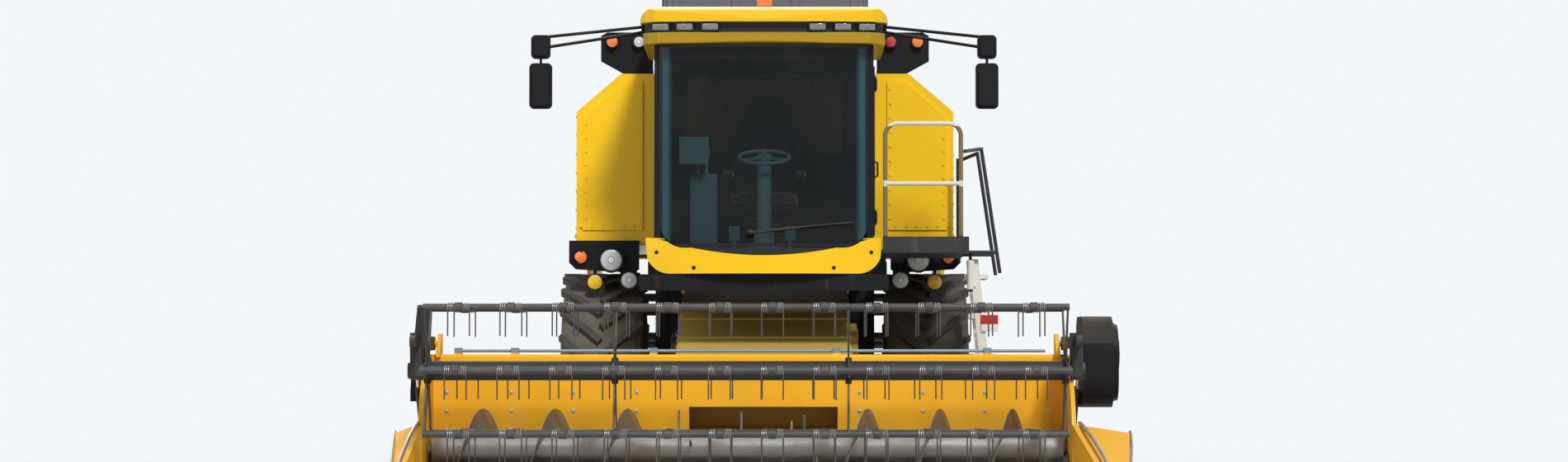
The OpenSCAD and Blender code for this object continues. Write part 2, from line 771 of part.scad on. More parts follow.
module controls() {
    color(grey) place() {
        link(55, 0, [-1700, cab_floor + 20], [-1556, 2618]);
        link(80, 0, [-1700, cab_floor + 20], [-1680, 2060]);
        box(-120, 120, -1800, -1600, cab_floor + seat_gap, cab_floor + 40);
        // Pedals
        for (x = [-230, 190]) {
            side_plate([[-1770, cab_floor + 60], [-1690, cab_floor + 60],
                [-1740, cab_floor + 170], [-1790, cab_floor + 160]], x - 35, x + 45);
            box(x - 10, x + 20, -1760, -1700, cab_floor + seat_gap, cab_floor + 70);
        }
        translate([0, -1556, 2620]) rotate([18, 0, 0]) {
            rotate_extrude($fn = 64) translate([190, 0]) circle(r = 14, $fn = 24);
            cylinder(r1 = 70, r2 = 48, h = 22, $fn = 40);
            for (a = [90, 210, 330]) rotate([0, 0, a]) box(20, 190, -16, 16, -6, 8);
        }
        // Console with its lever, and the screen on an arm
        side_plate(concat([[-760, cab_floor + seat_gap], [-760, 2500]],
            arc([-1440, 2440], 60, 90, 180, 6), [[-1500, cab_floor + seat_gap]]), -560, -360);
        link(14, -440, [-1380, 2490], [-1400, 2640]);
        translate([-440, -1402, 2660]) sphere(r = 34, $fn = 32);
        side_plate(soft(-1650, -1612, 2560, 2770, 12), -640, -420);
        link(14, -500, [-1470, 2480], [-1625, 2650]);
    }
}

module mirrors() {
    color(black) place() both_sides() {
        for (m = [[1575, 1745, 2950, 3290], [1588, 1732, 3322, 3500]]) difference() {
            union() {
                translate([0, -2066, 0]) rotate([90, 0, 0]) linear_extrude(34)
                    polygon(soft(m[0], m[1], m[2], m[3], 34));
                translate([0, -2098, 0]) rotate([90, 0, 0]) linear_extrude(22)
                    polygon(soft(m[0] + 22, m[1] - 22, m[2] + 22, m[3] - 22, 24));
            }
            translate([0, -2062, 0]) rotate([90, 0, 0]) linear_extrude(9)
                polygon(soft(m[0] + 9, m[1] - 9, m[2] + 9, m[3] - 9, 26));
        }
        box(roof_w / 2 - 30 + seat_gap, roof_w / 2 - 5, -1885, -1795, 3530, 3596);
        rod(12, [roof_w / 2 - 18, -1840, 3584], [1660, -2074, 3484]);
        rod(12, [roof_w / 2 - 18, -1840, 3544], [1660, -2074, 3404]);
        rod(10, [1660, -2082, 2970], [1660, -2082, 3490]);
    }
}

rail_y = cab_front - 30;
// Inner edge of the left platform, clear of the bumper's end
step_x = 886;
ladder_pin_y = -1560;

// Left platform with its railing and the handrails at the head of the ladder
module platform() {
    z0 = cab_floor - 37;
    z1 = cab_floor - 7;
    back = tank_front - 160;
    color(grey) place() {
        box(step_x, 1530, rail_y - 20, back, z0, z1);
        for (y = [-1400, -900]) {
            box(740 + seat_gap, 925, y, y + 80, 1660, 1740);
            box(step_x, 925, y, y + 80, 1660, z0 + 2);
        }
        // Railing with bent corners, and a toe board
        rod(17, [step_x + 20, rail_y, z0 + 5], [step_x + 20, rail_y, 2760]);
        rod(17, [1470, rail_y, z0 + 5], [1470, rail_y, 2760]);
        rod(17, [step_x + 109, rail_y, 2849], [1381, rail_y, 2849]);
        translate([step_x + 20, rail_y, 2759]) rotate([0, 0, -90]) elbow(90, 17);
        translate([1470, rail_y, 2759]) rotate([0, 0, 90]) elbow(90, 17);
        box(step_x, 1530, rail_y - 20, rail_y - 14, z1 - 2, z1 + 90);
        box(1524, 1530, rail_y - 20, rail_y + 160, z1 - 2, z1 + 90);
        box(1524, 1530, ladder_y1 + 90, back, z1 - 2, z1 + 90);
        rod(17, [step_x + 20, rail_y, 2400], [1470, rail_y, 2400]);
        // Leaning handrails at the head of the ladder
        for (y = [-1620, -1040]) {
            rod(14, [1640, y, 2690], [1780, y, 1740]);
            rod(14, [1757, y, cab_floor - 22], [1520, y, cab_floor - 22]);
        }
        rod(14, [1640, -1620, 2680], [1496, rail_y, 2640]);
        rod(14, [1640, -1040, 2680], [1510, -700, 2640]);
        rod(17, [1510, -700, z0 + 5], [1510, -700, 2660]);
        // Pin of the swinging ladder
        box(1500, ladder_x + 20, ladder_pin_y - 30, ladder_pin_y + 30, 1870, z1);
        bar_z(12, 1600, 1880, ladder_x, ladder_pin_y);
    }
}

ladder_x = 1560;
ladder_y0 = -1530;
ladder_y1 = -1090;

module ladder() {
    color(cream) place() difference() {
        union() {
            for (y = [ladder_y0, ladder_y1])
                front_plate([[ladder_x - 10, 1850], [ladder_x + 60, 1850],
                    [ladder_x + 200, 500], [ladder_x + 185, 470], [ladder_x + 145, 470],
                    [ladder_x + 130, 500]], y - 12, y + 12);
            for (i = [0 : 4]) {
                z = 500 + i * 300;
                x = ladder_x + 130 - i * 28;
                difference() {
                    box(x - 60, x + 120, ladder_y0, ladder_y1, z, z + 34);
                    box(x - 52, x + 112, ladder_y0 + 8, ladder_y1 - 8, z - 1, z + 26);
                    // Openings that let the mud through
                    for (j = [0 : 4], k = [0, 1])
                        box(x - 44 + k * 80, x + 16 + k * 80, ladder_y0 + 30 + j * 78,
                            ladder_y0 + 76 + j * 78, z - 1, z + 40);
                }
            }
            bar_z(26, 1620, 1840, ladder_x, ladder_pin_y);
            box(ladder_x + 4, ladder_x + 40, ladder_pin_y, ladder_y0, 1640, 1680);
            box(ladder_x - 6, ladder_x + 30, ladder_pin_y, ladder_y0, 1790, 1830);
        }
        bar_z(12 + pin_gap, 1600, 1890, ladder_x, ladder_pin_y);
    }
}

// Side shields over the belt drives
module shield_left() {
    color(yellow) place() {
        difference() {
            side_plate(concat([[930, 1950]], arc([1150, 1190], 150, 180, 270, 6),
                arc([2750, 1190], 150, 270, 355, 6), [[2960, 1950]]), half_w - 40, half_w - 10);
            for (i = [0 : 9])
                side_plate([[1700 + i * 60, 1740], [1725 + i * 60, 1740], [1765 + i * 60, 1880],
                    [1740 + i * 60, 1880]], half_w - 50, half_w);
            side_plate([[1080, 1320], [2820, 1320], [2840, 1360], [1060, 1360]],
                half_w - 16, half_w);
        }
        side_plate([[1150, 1250], [1230, 1120], [2700, 1120], [2770, 1250]],
            half_w - 12, half_w);
        side_plate([[1060, 1420], [1600, 1420], [1640, 1560], [1040, 1560]],
            half_w - 12, half_w);
        for (y = shield_eyes) difference() {
            union() {
                bar_y(12, y - 40, y + 40, shield_pin_x, shield_pin_z);
                box(half_w - 20, half_w - 6, y - 40, y + 40, 1930, shield_pin_z);
            }
            bar_y(6 + pin_gap, y - 41, y + 41, shield_pin_x, shield_pin_z);
        }
    }
}

module shield_right() {
    mirror([1, 0, 0]) shield_left();
}

hood_back = 3060;
dust_r = 320;
dust_y = 2250;
dust_z = 2340;
dust_axle = 20;

module engine_hood() {
    color(yellow) place() {
        difference() {
            side_plate([[tank_back + seat_gap, deck_z], [tank_back + seat_gap, 2700],
                [hood_back - 200, 2700], [hood_back, 2560], [hood_back, deck_z]],
                -half_w, half_w);
            side_plate([[tank_back + 30, 1900], [tank_back + 30, 2670],
                [hood_back - 215, 2670], [hood_back - 30, 2545], [hood_back - 30, 1900]],
                -half_w + 30, half_w - 30);
            bar_x(dust_r + 10, -half_w - 10, -half_w + 40, dust_y, dust_z);
            // Slots over the radiator
            for (i = [0 : 8]) box(-1200, -700, 1760 + i * 100, 1800 + i * 100, 2600, 2710);
        }
        // Raised edge along the roof and a rail at the back
        both_sides() box(half_w - 60, half_w - 20, tank_back + 30, hood_back - 220, 2695, 2716);
        // Louvres on the left side
        for (i = [0 : 7])
            front_plate([[half_w - 2, 2090 + i * 66], [half_w + 16, 2094 + i * 66],
                [half_w - 2, 2136 + i * 66]], 1700, 2800);
        // Floor edges on the separator's top and the dust screen's axle
        box(-half_w + 20, half_w - 20, tank_back + 20, 1700, deck_z, deck_z + 20);
        box(-half_w + 20, half_w - 20, 2750, hood_back - 20, deck_z, deck_z + 20);
        for (y = [1880, 2590]) box(-half_w + 20, -half_w + 90, y, y + 30, 2310, 2370);
        box(-half_w + 70, -half_w + 90, 1880, 2620, 2310, 2370);
        bar_x(dust_axle, -half_w - 20, -half_w + 80, dust_y, dust_z);
    }
}

module exhaust() {
    color(black) place() translate([-900, 2700, 0]) {
        rotate_extrude($fn = 48) polygon([[0, 2700 + seat_gap], [62, 2700 + seat_gap],
            [62, 2760], [104, 2800], [104, 3050], [62, 3100], [62, 3180], [0, 3180]]);
        translate([0, 0, 3178]) elbow(90, 52);
    }
}

module dust_screen() {
    color(black) place() {
        difference() {
            bar_x(dust_r, -half_w - 30, -half_w + 55, dust_y, dust_z);
            bar_x(dust_r - 18, -half_w - 10, -half_w + 70, dust_y, dust_z);
            bar_x(dust_axle + pin_gap, -half_w - 22, -half_w + 70, dust_y, dust_z);
        }
        difference() {
            bar_x(50, -half_w - 50, -half_w + 55, dust_y, dust_z);
            bar_x(dust_axle + pin_gap, -half_w - 22, -half_w + 70, dust_y, dust_z);
        }
        for (i = [0 : 5]) translate([-half_w - 34, dust_y, dust_z]) rotate([i * 60, 0, 0])
            box(-8, 12, 40, dust_r - 4, -8, 8);
        for (r = [110, 180, 250]) difference() {
            bar_x(r + 5, -half_w - 36, -half_w - 28, dust_y, dust_z);
            bar_x(r - 5, -half_w - 37, -half_w - 27, dust_y, dust_z);
        }
    }
}

spread_y = 4822;
spread_eyes = [-500, 500];

// The hood's back is a quarter oval about this point
hood_mid = [3700, 1600];

module straw_hood() {
    color(yellow) place() {
        difference() {
            side_plate(concat([[3290, deck_z], [hood_back + seat_gap, deck_z],
                [hood_back + seat_gap, 2560]], oval(hood_mid, [1100, 930], 88, 0, 14),
                [[4800, 1440], [4420, 1180], [3900, 1180], [3560, 1360], [3290, 1360]]),
                -760, 760);
            side_plate(concat([[3320, 1300], [3320, 2520]], oval(hood_mid, [1068, 898], 88, 0, 14),
                [[4768, 1000], [3500, 1000]]), -730, 730);
            // Grilles in the sides
            for (s = [-1, 1], i = [0 : 4])
                box(s * 745 - 20, s * 745 + 20, 3400 + i * 70, 3440 + i * 70, 2160, 2360);
        }
        // Ribs round the back and along the sides
        for (x = [-420, 0, 420]) difference() {
            side_plate(oval(hood_mid, [1118, 948], 80, 2, 12), x - 25, x + 25);
            side_plate(concat([hood_mid], oval(hood_mid, [1096, 926], 90, -5, 14)),
                x - 26, x + 26);
        }
        both_sides() {
            side_plate([[3480, 1420], [4700, 1420], [4700, 1460], [3480, 1460]], 758, 772);
            side_plate([[3120, 2060], [4560, 2060], [4530, 2100], [3120, 2100]], 758, 772);
        }
        // Hinge of the spreader plate
        for (x = spread_eyes) {
            box(x - 52, x - 42, 4785, spread_y + 9, 1690, 1712);
            box(x + 42, x + 52, 4785, spread_y + 9, 1690, 1712);
            bar_x(6, x - 50, x + 50, spread_y, 1700);
        }
    }
}

module spreader_plate() {
    color(black) place() {
        side_plate([[spread_y - 8, 1680], [spread_y + 12, 1680], [4980, 1210], [4960, 1200]],
            -740, 740);
        for (x = [-600, -360, -120, 120, 360, 600])
            side_plate([[spread_y - 8, 1640], [4960, 1202], [4840, 1290]], x - 5, x + 5);
        for (x = spread_eyes) difference() {
            union() {
                bar_x(12, x - 40, x + 40, spread_y, 1700);
                box(x - 40, x + 40, spread_y - 8, spread_y + 12, 1670, 1700);
            }
            bar_x(6 + pin_gap, x - 41, x + 41, spread_y, 1700);
        }
    }
}

// Steered rear axle
module rear_axle() {
    color(black) place() {
        box(-kingpin_x + 60, kingpin_x - 60, wheelbase - 80, wheelbase + 80, 520, 660);
        box(-160, 160, wheelbase - 90, wheelbase + 90, 640, 1000);
        box(-rail_x + seat_gap, rail_x - seat_gap, wheelbase - 60, wheelbase + 60, 940, 1040);
        difference() {
            both_sides() bar_z(75, 520, 660, kingpin_x, wheelbase);
            both_sides() bar_z(30 + pin_gap, 500, 680, kingpin_x, wheelbase);
        }
        // Steering cylinder round the tie rod
        difference() {
            union() {
                bar_x(44, -240, 240, wheelbase + tie_arm, tie_z);
                bar_x(52, -256, -225, wheelbase + tie_arm, tie_z);
                bar_x(52, 225, 256, wheelbase + tie_arm, tie_z);
                for (x = [-160, 120])
                    side_plate([[wheelbase + 60, 640], [wheelbase + 60, 530],
                        [wheelbase + tie_arm - 40, 440], [wheelbase + tie_arm + 20, 440],
                        [wheelbase + tie_arm + 20, 490], [wheelbase + 78, 640]], x, x + 40);
            }
            bar_x(tie_r + pin_gap, -300, 300, wheelbase + tie_arm, tie_z);
        }
    }
}

module knuckle_left() {
    kx = kingpin_x;
    wb = wheelbase;
    color(black) place() {
        bar_z(30, 470, 710, kx, wb);
        box(kx - 60, kx + 150, wb - 60, wb + 60, 660 + pin_gap, 702);
        box(kx - 60, kx + 150, wb - 60, wb + 60, 478, 520 - pin_gap);
        box(kx + 90, kx + 150, wb - 70, wb + 70, 478, 780);
        bar_x(60, kx + 140, rear_track / 2 + rear_dish - disc_t - 2, wb, rear_z);
        bar_x(rear_hub_r * hub_bore - pin_gap, kx + 140, rear_track / 2 + rear_dish + 24, wb,
            rear_z);
        difference() {
            box(kx - 45, kx + 45, wb, wb + tie_arm + 75, 478, 506);
            box(kx - 22, kx + 22, wb + tie_arm - 20, wb + tie_arm + 50, 460, 520);
        }
    }
}

module knuckle_right() {
    mirror([1, 0, 0]) knuckle_left();
}

module tie_rod() {
    color(steel) place() {
        both_sides() {
            bar_z(12, 440, 516, kingpin_x, wheelbase + tie_arm);
            bar_z(30, 506 + pin_gap, 516, kingpin_x, wheelbase + tie_arm);
        }
        bar_x(tie_r, -kingpin_x - 20, kingpin_x + 20, wheelbase + tie_arm, tie_z);
    }
}

// Feeder house and header
// Height of the feeder's top sheet at y
function feeder_top(y) = feeder_z + 200 + (y - feeder_y) * 590 / 2210;

module feeder_house() {
    color(yellow) place() difference() {
        union() {
            side_plate([[feeder_y, feeder_z + 200], [-2560, 960], [-2600, 960],
                [-2600, 250], [-2450, 250], [-2150, 550], [feeder_y, feeder_z - 200]], -650, 650);
            bar_x(204, -650, 650, feeder_y, feeder_z);
            // Cross ribs on the top sheet and along the sides
            for (y = [-860, -1420, -2360])
                side_plate([[y, feeder_top(y) - 4], [y, feeder_top(y) + 14],
                    [y - 60, feeder_top(y - 60) + 14], [y - 60, feeder_top(y - 60) - 4]],
                    -650, 650);
            both_sides() side_plate([[-620, feeder_top(-620) - 30],
                [-2500, feeder_top(-2500) - 30], [-2500, feeder_top(-2500) - 70],
                [-620, feeder_top(-620) - 70]], 648, 662);
            // Chain guard on the left
            side_plate(loop([-620, 1270, 105], [-2330, 720, 105]), 648, 716);
            bar_x(60, 700, 728, -620, 1270);
            bar_x(48, 700, 728, -2330, 720);
            both_sides() box(640, 760, -2600, -2540, 200, 1000);
            box(-760, 760, -2600, -2540, 960, 1020);
            box(-760, 760, -2600, -2540, 180, mouth_z0);
            // Lugs for the lift cylinders
            both_sides() for (x = [315, 395])
                side_plate([[-1880, 770], [-1640, 850], [-1690, 560], [-1810, 560]],
                    x, x + 20);
        }
        both_sides() {
            bar_x(60 + pin_gap, 550, 660, feeder_y, feeder_z);
            bar_x(lift_slack, 300, 430, lift_b[0], lift_b[1]);
        }
        // Mouth for the crop
        side_plate([[-2610, mouth_z0], [-2610, mouth_z1], [-2200, mouth_z1 + 200],
            [-2200, mouth_z0 + 320]], -mouth_half, mouth_half);
    }
}

// Pins of the lift cylinders, and the lugs' bores with room for the linkage's small drift
lift_a = [-150, 600];
lift_b = [-1750, 610];
lift_pin = 16;
lift_slack = lift_pin + 6;
lift_neck = [-1100, 606];

module lift_barrels() {
    color(black) place() both_sides() difference() {
        union() {
            bar_x(40, 338, 392, lift_a[0], lift_a[1]);
            link(30, 365, lift_a, [-250, 600.6]);
            link(45, 365, [-235, 600.5], lift_neck);
        }
        link(25 + pin_gap, 365, [-700, 603.4], [-1120, 606.1]);
        bar_x(lift_pin + pin_gap, 330, 400, lift_a[0], lift_a[1]);
    }
}

module lift_rods() {
    color(steel) place() both_sides() {
        link(25, 365, [-760, 603.8], [-1720, 609.8]);
        bar_x(38, 342, 388, lift_b[0], lift_b[1]);
        bar_x(lift_pin, 311, 419, lift_b[0], lift_b[1]);
    }
}

// Reel lift cylinders, in their YZ plane, with points along the line between the pins
reel_a = [-2950, 560];
reel_b = [-3480, 1080];
reel_pin = 14;
function reel_line(t) = reel_a + (reel_b - reel_a) * t;
reel_neck = reel_line(0.62);
reel_deep = reel_line(0.12);
reel_in = reel_line(0.16);

module header_frame() {
    color(yellow) place() {
        translate([-cut_shift, 0, 0]) difference() {
            union() {
                // Floor and trough round the auger
                difference() {
                    union() {
                        difference() {
                            side_plate([[-3560, 80], [-3560, 140], [-3290, 330], [-3290, 430],
                                [-2650, 430], [-2650, 90]], -sheet_x, sheet_x);
                            bar_x(trough_r, -sheet_x - 1, sheet_x + 1, auger_y, auger_z);
                            box(-sheet_x - 1, sheet_x + 1, -3340, -2670, 350, 900);
                        }
                        box(-sheet_x, sheet_x, -2672, -2650, 200, 1040);
                    }
                    box(-mouth_half + cut_shift, mouth_half + cut_shift, -2720, -2640,
                        mouth_z0, mouth_z1);
                }
                side_plate([[-2760, 1052], [-2738, 1030], [-2640, 1030], [-2640, 1120],
                    [-2738, 1120], [-2760, 1098]], -sheet_x, sheet_x);
                // Ribs on the back wall
                for (k = [0.5, 0.7, 0.9]) both_sides()
                    side_plate([[-2655, 215], [-2655, 1035], [-2630, 1035], [-2605, 900],
                        [-2605, 215]], k * sheet_x - 20, k * sheet_x + 20);
                // Oil pipe along the beam, in its clamps
                bar_x(12, 170 - sheet_x, sheet_x - 130, -2700, 1146);
                for (k = [-0.92, -0.74, -0.3, 0.28, 0.76])
                    box(k * sheet_x - 28, k * sheet_x + 28, -2736, -2668, 1116, 1168);
                box(-sheet_x, sheet_x, -2655, -2600 - seat_gap, 120, 220);
                box(-760 + cut_shift, -660 + cut_shift, -2655, -2600 - seat_gap, 200, 1040);
                box(660 + cut_shift, 760 + cut_shift, -2655, -2600 - seat_gap, 200, 1040);
                both_sides() {
                    side_plate(concat([[-2600, 90], [-2600, 1120]],
                        oval([-2760, 420], [800, 700], 90, 180, 12), [[-3620, 80]]),
                        sheet_x, sheet_x + sheet_t);
                    side_plate([[-3470, 150], [-2680, 150], [-2680, 200], [-3450, 200]],
                        sheet_x + sheet_t - 2, sheet_x + sheet_t + 12);
                    side_plate([[-2840, 1140], [-2660, 1270], [-2600, 1270],
                        [-2600, 1100], [-2840, 1100]], sheet_x - 60, sheet_x - 30);
                    // Skids
                    for (x = [300, 1500])
                        side_plate(concat([[-2750, 95], [-2750, 60], [-2900, 0]],
                            arc([-3250, 150], 150, 270, 200, 6), [[-3392, 100]]), x, x + 80);
                    bar_x(25, sheet_x - 60, sheet_x + sheet_t, arm_y, arm_z);
                    bar_x(reel_pin, sheet_x + 20, sheet_x + 76, reel_a[0], reel_a[1]);
                }
            }
            // Bearings of the auger
            bar_x(40 + pin_gap, -sheet_x - 50, sheet_x + 50, auger_y, auger_z);
        }
        // Divider points
        hull() {
            box(-cut_shift - sheet_x - sheet_t, -cut_shift - sheet_x, -3560, -3500, 90, 620);
            box(-overall_x, -overall_x + 30, -3560, -3500, 90, 560);
            box(-overall_x + 60, -overall_x + 70, nose_y, nose_y + 10, 70, 90);
        }
        hull() {
            box(-cut_shift + sheet_x, -cut_shift + sheet_x + sheet_t, -3560, -3500, 90, 620);
            box(overall_x - 30, overall_x, -3560, -3500, 90, 560);
            box(overall_x - 170, overall_x - 160, nose_y, nose_y + 10, 70, 90);
        }
    }
}

finger_pitch = 76;
fingers = floor((cut_w - 80) / finger_pitch);

module cutterbar() {
    color(steel) place() translate([-cut_shift, 0, 0]) {
        box(-sheet_x + 5, sheet_x - 5, -3600, -3560 - seat_gap, 100, 130);
        for (i = [0 : fingers - 1])
            translate([(i - (fingers - 1) / 2) * finger_pitch, -3600, 104])
                linear_extrude(22) polygon([[-16, 0], [16, 0], [5, -110], [-5, -110]]);
    }
}

auger_core = 150;
flight_pitch = 520;
flight_steps = 24;

// One flight from x = 0, wound by hand, standing on the tube
module flight(len, hand) {
    foot = (auger_core + seat_gap) / cos(180 / flight_steps);
    rotate([0, 90, 0]) linear_extrude(len, twist = hand * 360 * len / flight_pitch,
        slices = ceil(len / flight_pitch * flight_steps))
        translate([foot, -8]) square([flight_r - foot, 16]);
}

module header_auger() {
    run = sheet_x - 50 - 560;
    color(steel) place() translate([-cut_shift, auger_y, auger_z]) {
        bar_x(auger_core, -sheet_x + 30, sheet_x - 30, 0, 0);
        bar_x(40, -sheet_x - sheet_t, sheet_x + sheet_t, 0, 0);
        translate([600, 0, 0]) flight(run, 1);
        mirror([1, 0, 0]) translate([600, 0, 0]) flight(run, -1);
        // Fingers that pull the crop into the feeder
        for (i = [0 : 11]) translate([-495 + i * 90, 0, 0]) rotate([i * 75, 0, 0])
            cylinder(r = 9, h = flight_r - 12, $fn = 24);
    }
}

module reel_arms() {
    color(grey) place() translate([-cut_shift, 0, 0]) both_sides() {
        difference() {
            union() {
                side_plate(concat([[arm_y, arm_z - 40], [arm_y, arm_z + 40]],
                    arc([-4175, arm_z], 40, 90, 270, 8)), sheet_x - 15, sheet_x + 25);
                bar_x(50, sheet_x - 15, sheet_x + 25, arm_y, arm_z);
            }
            bar_x(25 + pin_gap, sheet_x - 20, sheet_x + 30, arm_y, arm_z);
        }
        // Lug and pin for the lift cylinder's rod eye
        box(sheet_x - 5, sheet_x + 20, reel_b[0] - 30, reel_b[0] + 30, reel_b[1] - 30,
            arm_z - 30);
        bar_x(reel_pin, sheet_x + 10, sheet_x + 76, reel_b[0], reel_b[1]);
    }
}

shaft_r = 30;

module reel_carriage() {
    g = pin_gap;
    color(black) place() translate([-cut_shift, 0, 0]) both_sides() difference() {
        union() {
            side_plate([[reel_y - 90, arm_z + 62], [reel_y + 90, arm_z + 62],
                [reel_y + 90, arm_z - 70], [reel_y + 66, reel_z - 40], [reel_y + 40, reel_z - 66],
                [reel_y - 40, reel_z - 66], [reel_y - 66, reel_z - 40], [reel_y - 90, arm_z - 70]],
                sheet_x - 35, sheet_x + 45);
            bar_x(56, sheet_x + 40, sheet_x + 66, reel_y, reel_z);
        }
        box(sheet_x - 15 - g, sheet_x + 25 + g, reel_y - 100, reel_y + 100, arm_z - 40 - g,
            arm_z + 40 + g);
        bar_x(shaft_r + g, sheet_x - 40, sheet_x + 50, reel_y, reel_z);
    }
}

// Six bats round the tube on four spiders, with the tines hanging down
spider_x = [70 - sheet_x, -0.4 * sheet_x, 0.31 * sheet_x, sheet_x - 70];
tine_pair = 150;
pair_pitch = 360;
pairs = floor((cut_w - 220) / pair_pitch);

module reel() {
    color(grey) place() translate([-cut_shift, reel_y, reel_z]) {
        bar_x(67, spider_x[0], spider_x[3], 0, 0);
        bar_x(shaft_r, -sheet_x - 40, sheet_x + 40, 0, 0);
        for (x = spider_x) {
            // Star plate with tapered arms and lightening holes
            difference() {
                union() {
                    bar_x(150, x - 5, x + 5, 0, 0);
                    for (i = [0 : 5]) rotate([i * 60, 0, 0])
                        side_plate([[100, -58], [bat_r - 20, -26], [bat_r + 10, -26],
                            [bat_r + 10, 26], [bat_r - 20, 26], [100, 58]], x - 5, x + 5);
                }
                for (i = [0 : 5]) rotate([i * 60, 0, 0]) {
                    bar_x(24, x - 6, x + 6, 150, 0);
                    side_plate([[210, -26], [bat_r - 90, -14], [bat_r - 90, 14], [210, 26]],
                        x - 6, x + 6);
                }
            }
            bar_x(92, x - 22, x + 22, 0, 0);
        }
        for (a = [0 : 5]) {
            y = bat_r * cos(a * 60);
            z = bat_r * sin(a * 60);
            bar_x(24, spider_x[0] - 10, spider_x[3] + 10, y, z);
            for (i = [0 : pairs - 1]) {
                mid = (i - (pairs - 1) / 2) * pair_pitch;
                // Clamp of a pair of tines, which hang down from the bat
                bar_x(33, mid - 26, mid + 26, y, z);
                for (j = [-0.5, 0.5]) translate([mid + j * tine_pair, y, z - tine_len])
                    cylinder(r = 5, h = tine_len, $fn = 6);
            }
        }
    }
}

// The guard over the drives, outside the left side sheet
guard_x0 = sheet_x - cut_shift + 100;
guard_x1 = guard_x0 + 255;

module drive_guard() {
    right_x = -cut_shift - sheet_x - sheet_t - seat_gap;
    color(black) place() {
        // Left guard, in two halves with a raised rim round the drives
        side_plate(concat(arc([-2740, 1290], 100, 0, 90, 6), arc([-3090, 1150], 240, 90, 180, 8),
            arc([-3130, 940], 200, 180, 270, 6), arc([-2700, 800], 60, 270, 360, 4)),
            guard_x0, guard_x1 - 40);
        side_plate(concat(arc([-2760, 1280], 70, 0, 90, 5), arc([-3080, 1140], 190, 90, 180, 8),
            arc([-3110, 950], 160, 180, 270, 6), arc([-2720, 820], 40, 270, 360, 4)),
            guard_x1 - 41, guard_x1);
        for (c = [[-2960, 1120, 120], [-2840, 900, 60]]) bar_x(c[2], guard_x1 - 2, guard_x1 + 22,
            c[0], c[1]);
        box(sheet_x + sheet_t - cut_shift + seat_gap, guard_x0 + 5, -2900, -2700, 760, 860);
        // Right end housing, tapered to its top
        intersection() {
            side_plate(concat([[-2640, 780], [-2640, 1400]], arc([-2720, 1400], 80, 0, 130, 6),
                [[-2880, 1120], [-2880, 780]]), right_x - 120, right_x);
            front_plate([[right_x - 118, 780], [right_x - 118, 860], [right_x - 80, 1485],
                [right_x, 1485], [right_x, 780]], -2900, -2600);
        }
    }
}

module reel_barrels() {
    color(black) place() translate([-cut_shift, 0, 0]) both_sides() difference() {
        union() {
            bar_x(26, sheet_x + 34, sheet_x + 74, reel_a[0], reel_a[1]);
            link(21, sheet_x + 54, reel_a, reel_neck);
        }
        bar_x(reel_pin + pin_gap, sheet_x + 30, sheet_x + 80, reel_a[0], reel_a[1]);
        link(11 + pin_gap, sheet_x + 54, reel_deep, reel_b);
    }
}

module reel_rods() {
    color(steel) place() translate([-cut_shift, 0, 0]) both_sides() difference() {
        union() {
            link(11, sheet_x + 54, reel_in, reel_b);
            bar_x(26, sheet_x + 38, sheet_x + 72, reel_b[0], reel_b[1]);
        }
        bar_x(reel_pin + 5, sheet_x + 30, sheet_x + 80, reel_b[0], reel_b[1]);
    }
}

frame();
separator();
engine();
grain_tank();
cover_left();
cover_right();
cover_front();
cover_rear();
unloading_auger();
cab_frame();
cab_bumper();
cab_roof();
windscreen();
cab_glass();
cab_door();
door_glass();
seat();
controls();
mirrors();
lamps();
beacon();
platform();
ladder();
shield_left();
shield_right();
engine_hood();
exhaust();
dust_screen();
straw_hood();
spreader_plate();
front_tyre_left();
front_tyre_right();
front_rim_left();
front_rim_right();
rear_axle();
knuckle_left();
knuckle_right();
tie_rod();
rear_tyre_left();
rear_tyre_right();
rear_rim_left();
rear_rim_right();
feeder_house();
lift_barrels();
lift_rods();
header_frame();
cutterbar();
header_auger();
reel_arms();
reel_carriage();
reel();
drive_guard();
reel_barrels();
reel_rods();
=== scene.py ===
import math

import bmesh
import bpy
from mathutils import Matrix, Vector


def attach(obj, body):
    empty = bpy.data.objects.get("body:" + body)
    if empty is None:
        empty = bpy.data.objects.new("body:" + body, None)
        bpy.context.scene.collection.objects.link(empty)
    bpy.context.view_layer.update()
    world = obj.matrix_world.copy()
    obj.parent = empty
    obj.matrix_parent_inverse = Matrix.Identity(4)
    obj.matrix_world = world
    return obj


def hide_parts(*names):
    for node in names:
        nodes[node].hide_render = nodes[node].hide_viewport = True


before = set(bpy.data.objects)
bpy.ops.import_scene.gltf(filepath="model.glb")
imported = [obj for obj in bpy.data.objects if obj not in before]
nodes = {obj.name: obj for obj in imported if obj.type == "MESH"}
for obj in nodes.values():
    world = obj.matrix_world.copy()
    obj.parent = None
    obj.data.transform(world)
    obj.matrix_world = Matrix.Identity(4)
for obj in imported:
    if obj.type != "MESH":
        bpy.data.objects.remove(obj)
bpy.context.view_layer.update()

# Shared sizes, in metres about the front axle, as in part.scad. SHIFT moves them into the row
# frame, and Build adds it to each mesh.
SHIFT = -0.28
PANEL_X = 1.480  # outer face of the side panels
TANK_Y = -0.514  # plane of the bolts on the grain tank's front
HOUSING_X = 0.652  # side of the threshing housing
WALL_Y = -2.674  # front face of the header's back wall
HEADER_X = -0.110  # the header's middle lies this far to the right
REEL_Y, REEL_Z, REEL_R = -3.870, 1.0, 0.505  # axis of the reel, and radius of its bats
CAB_FLOOR = 1.9205
FRONT_AXLE, REAR_AXLE = (0.0, 0.890), (3.6, 0.625)  # y and z; z is also the tyre's radius

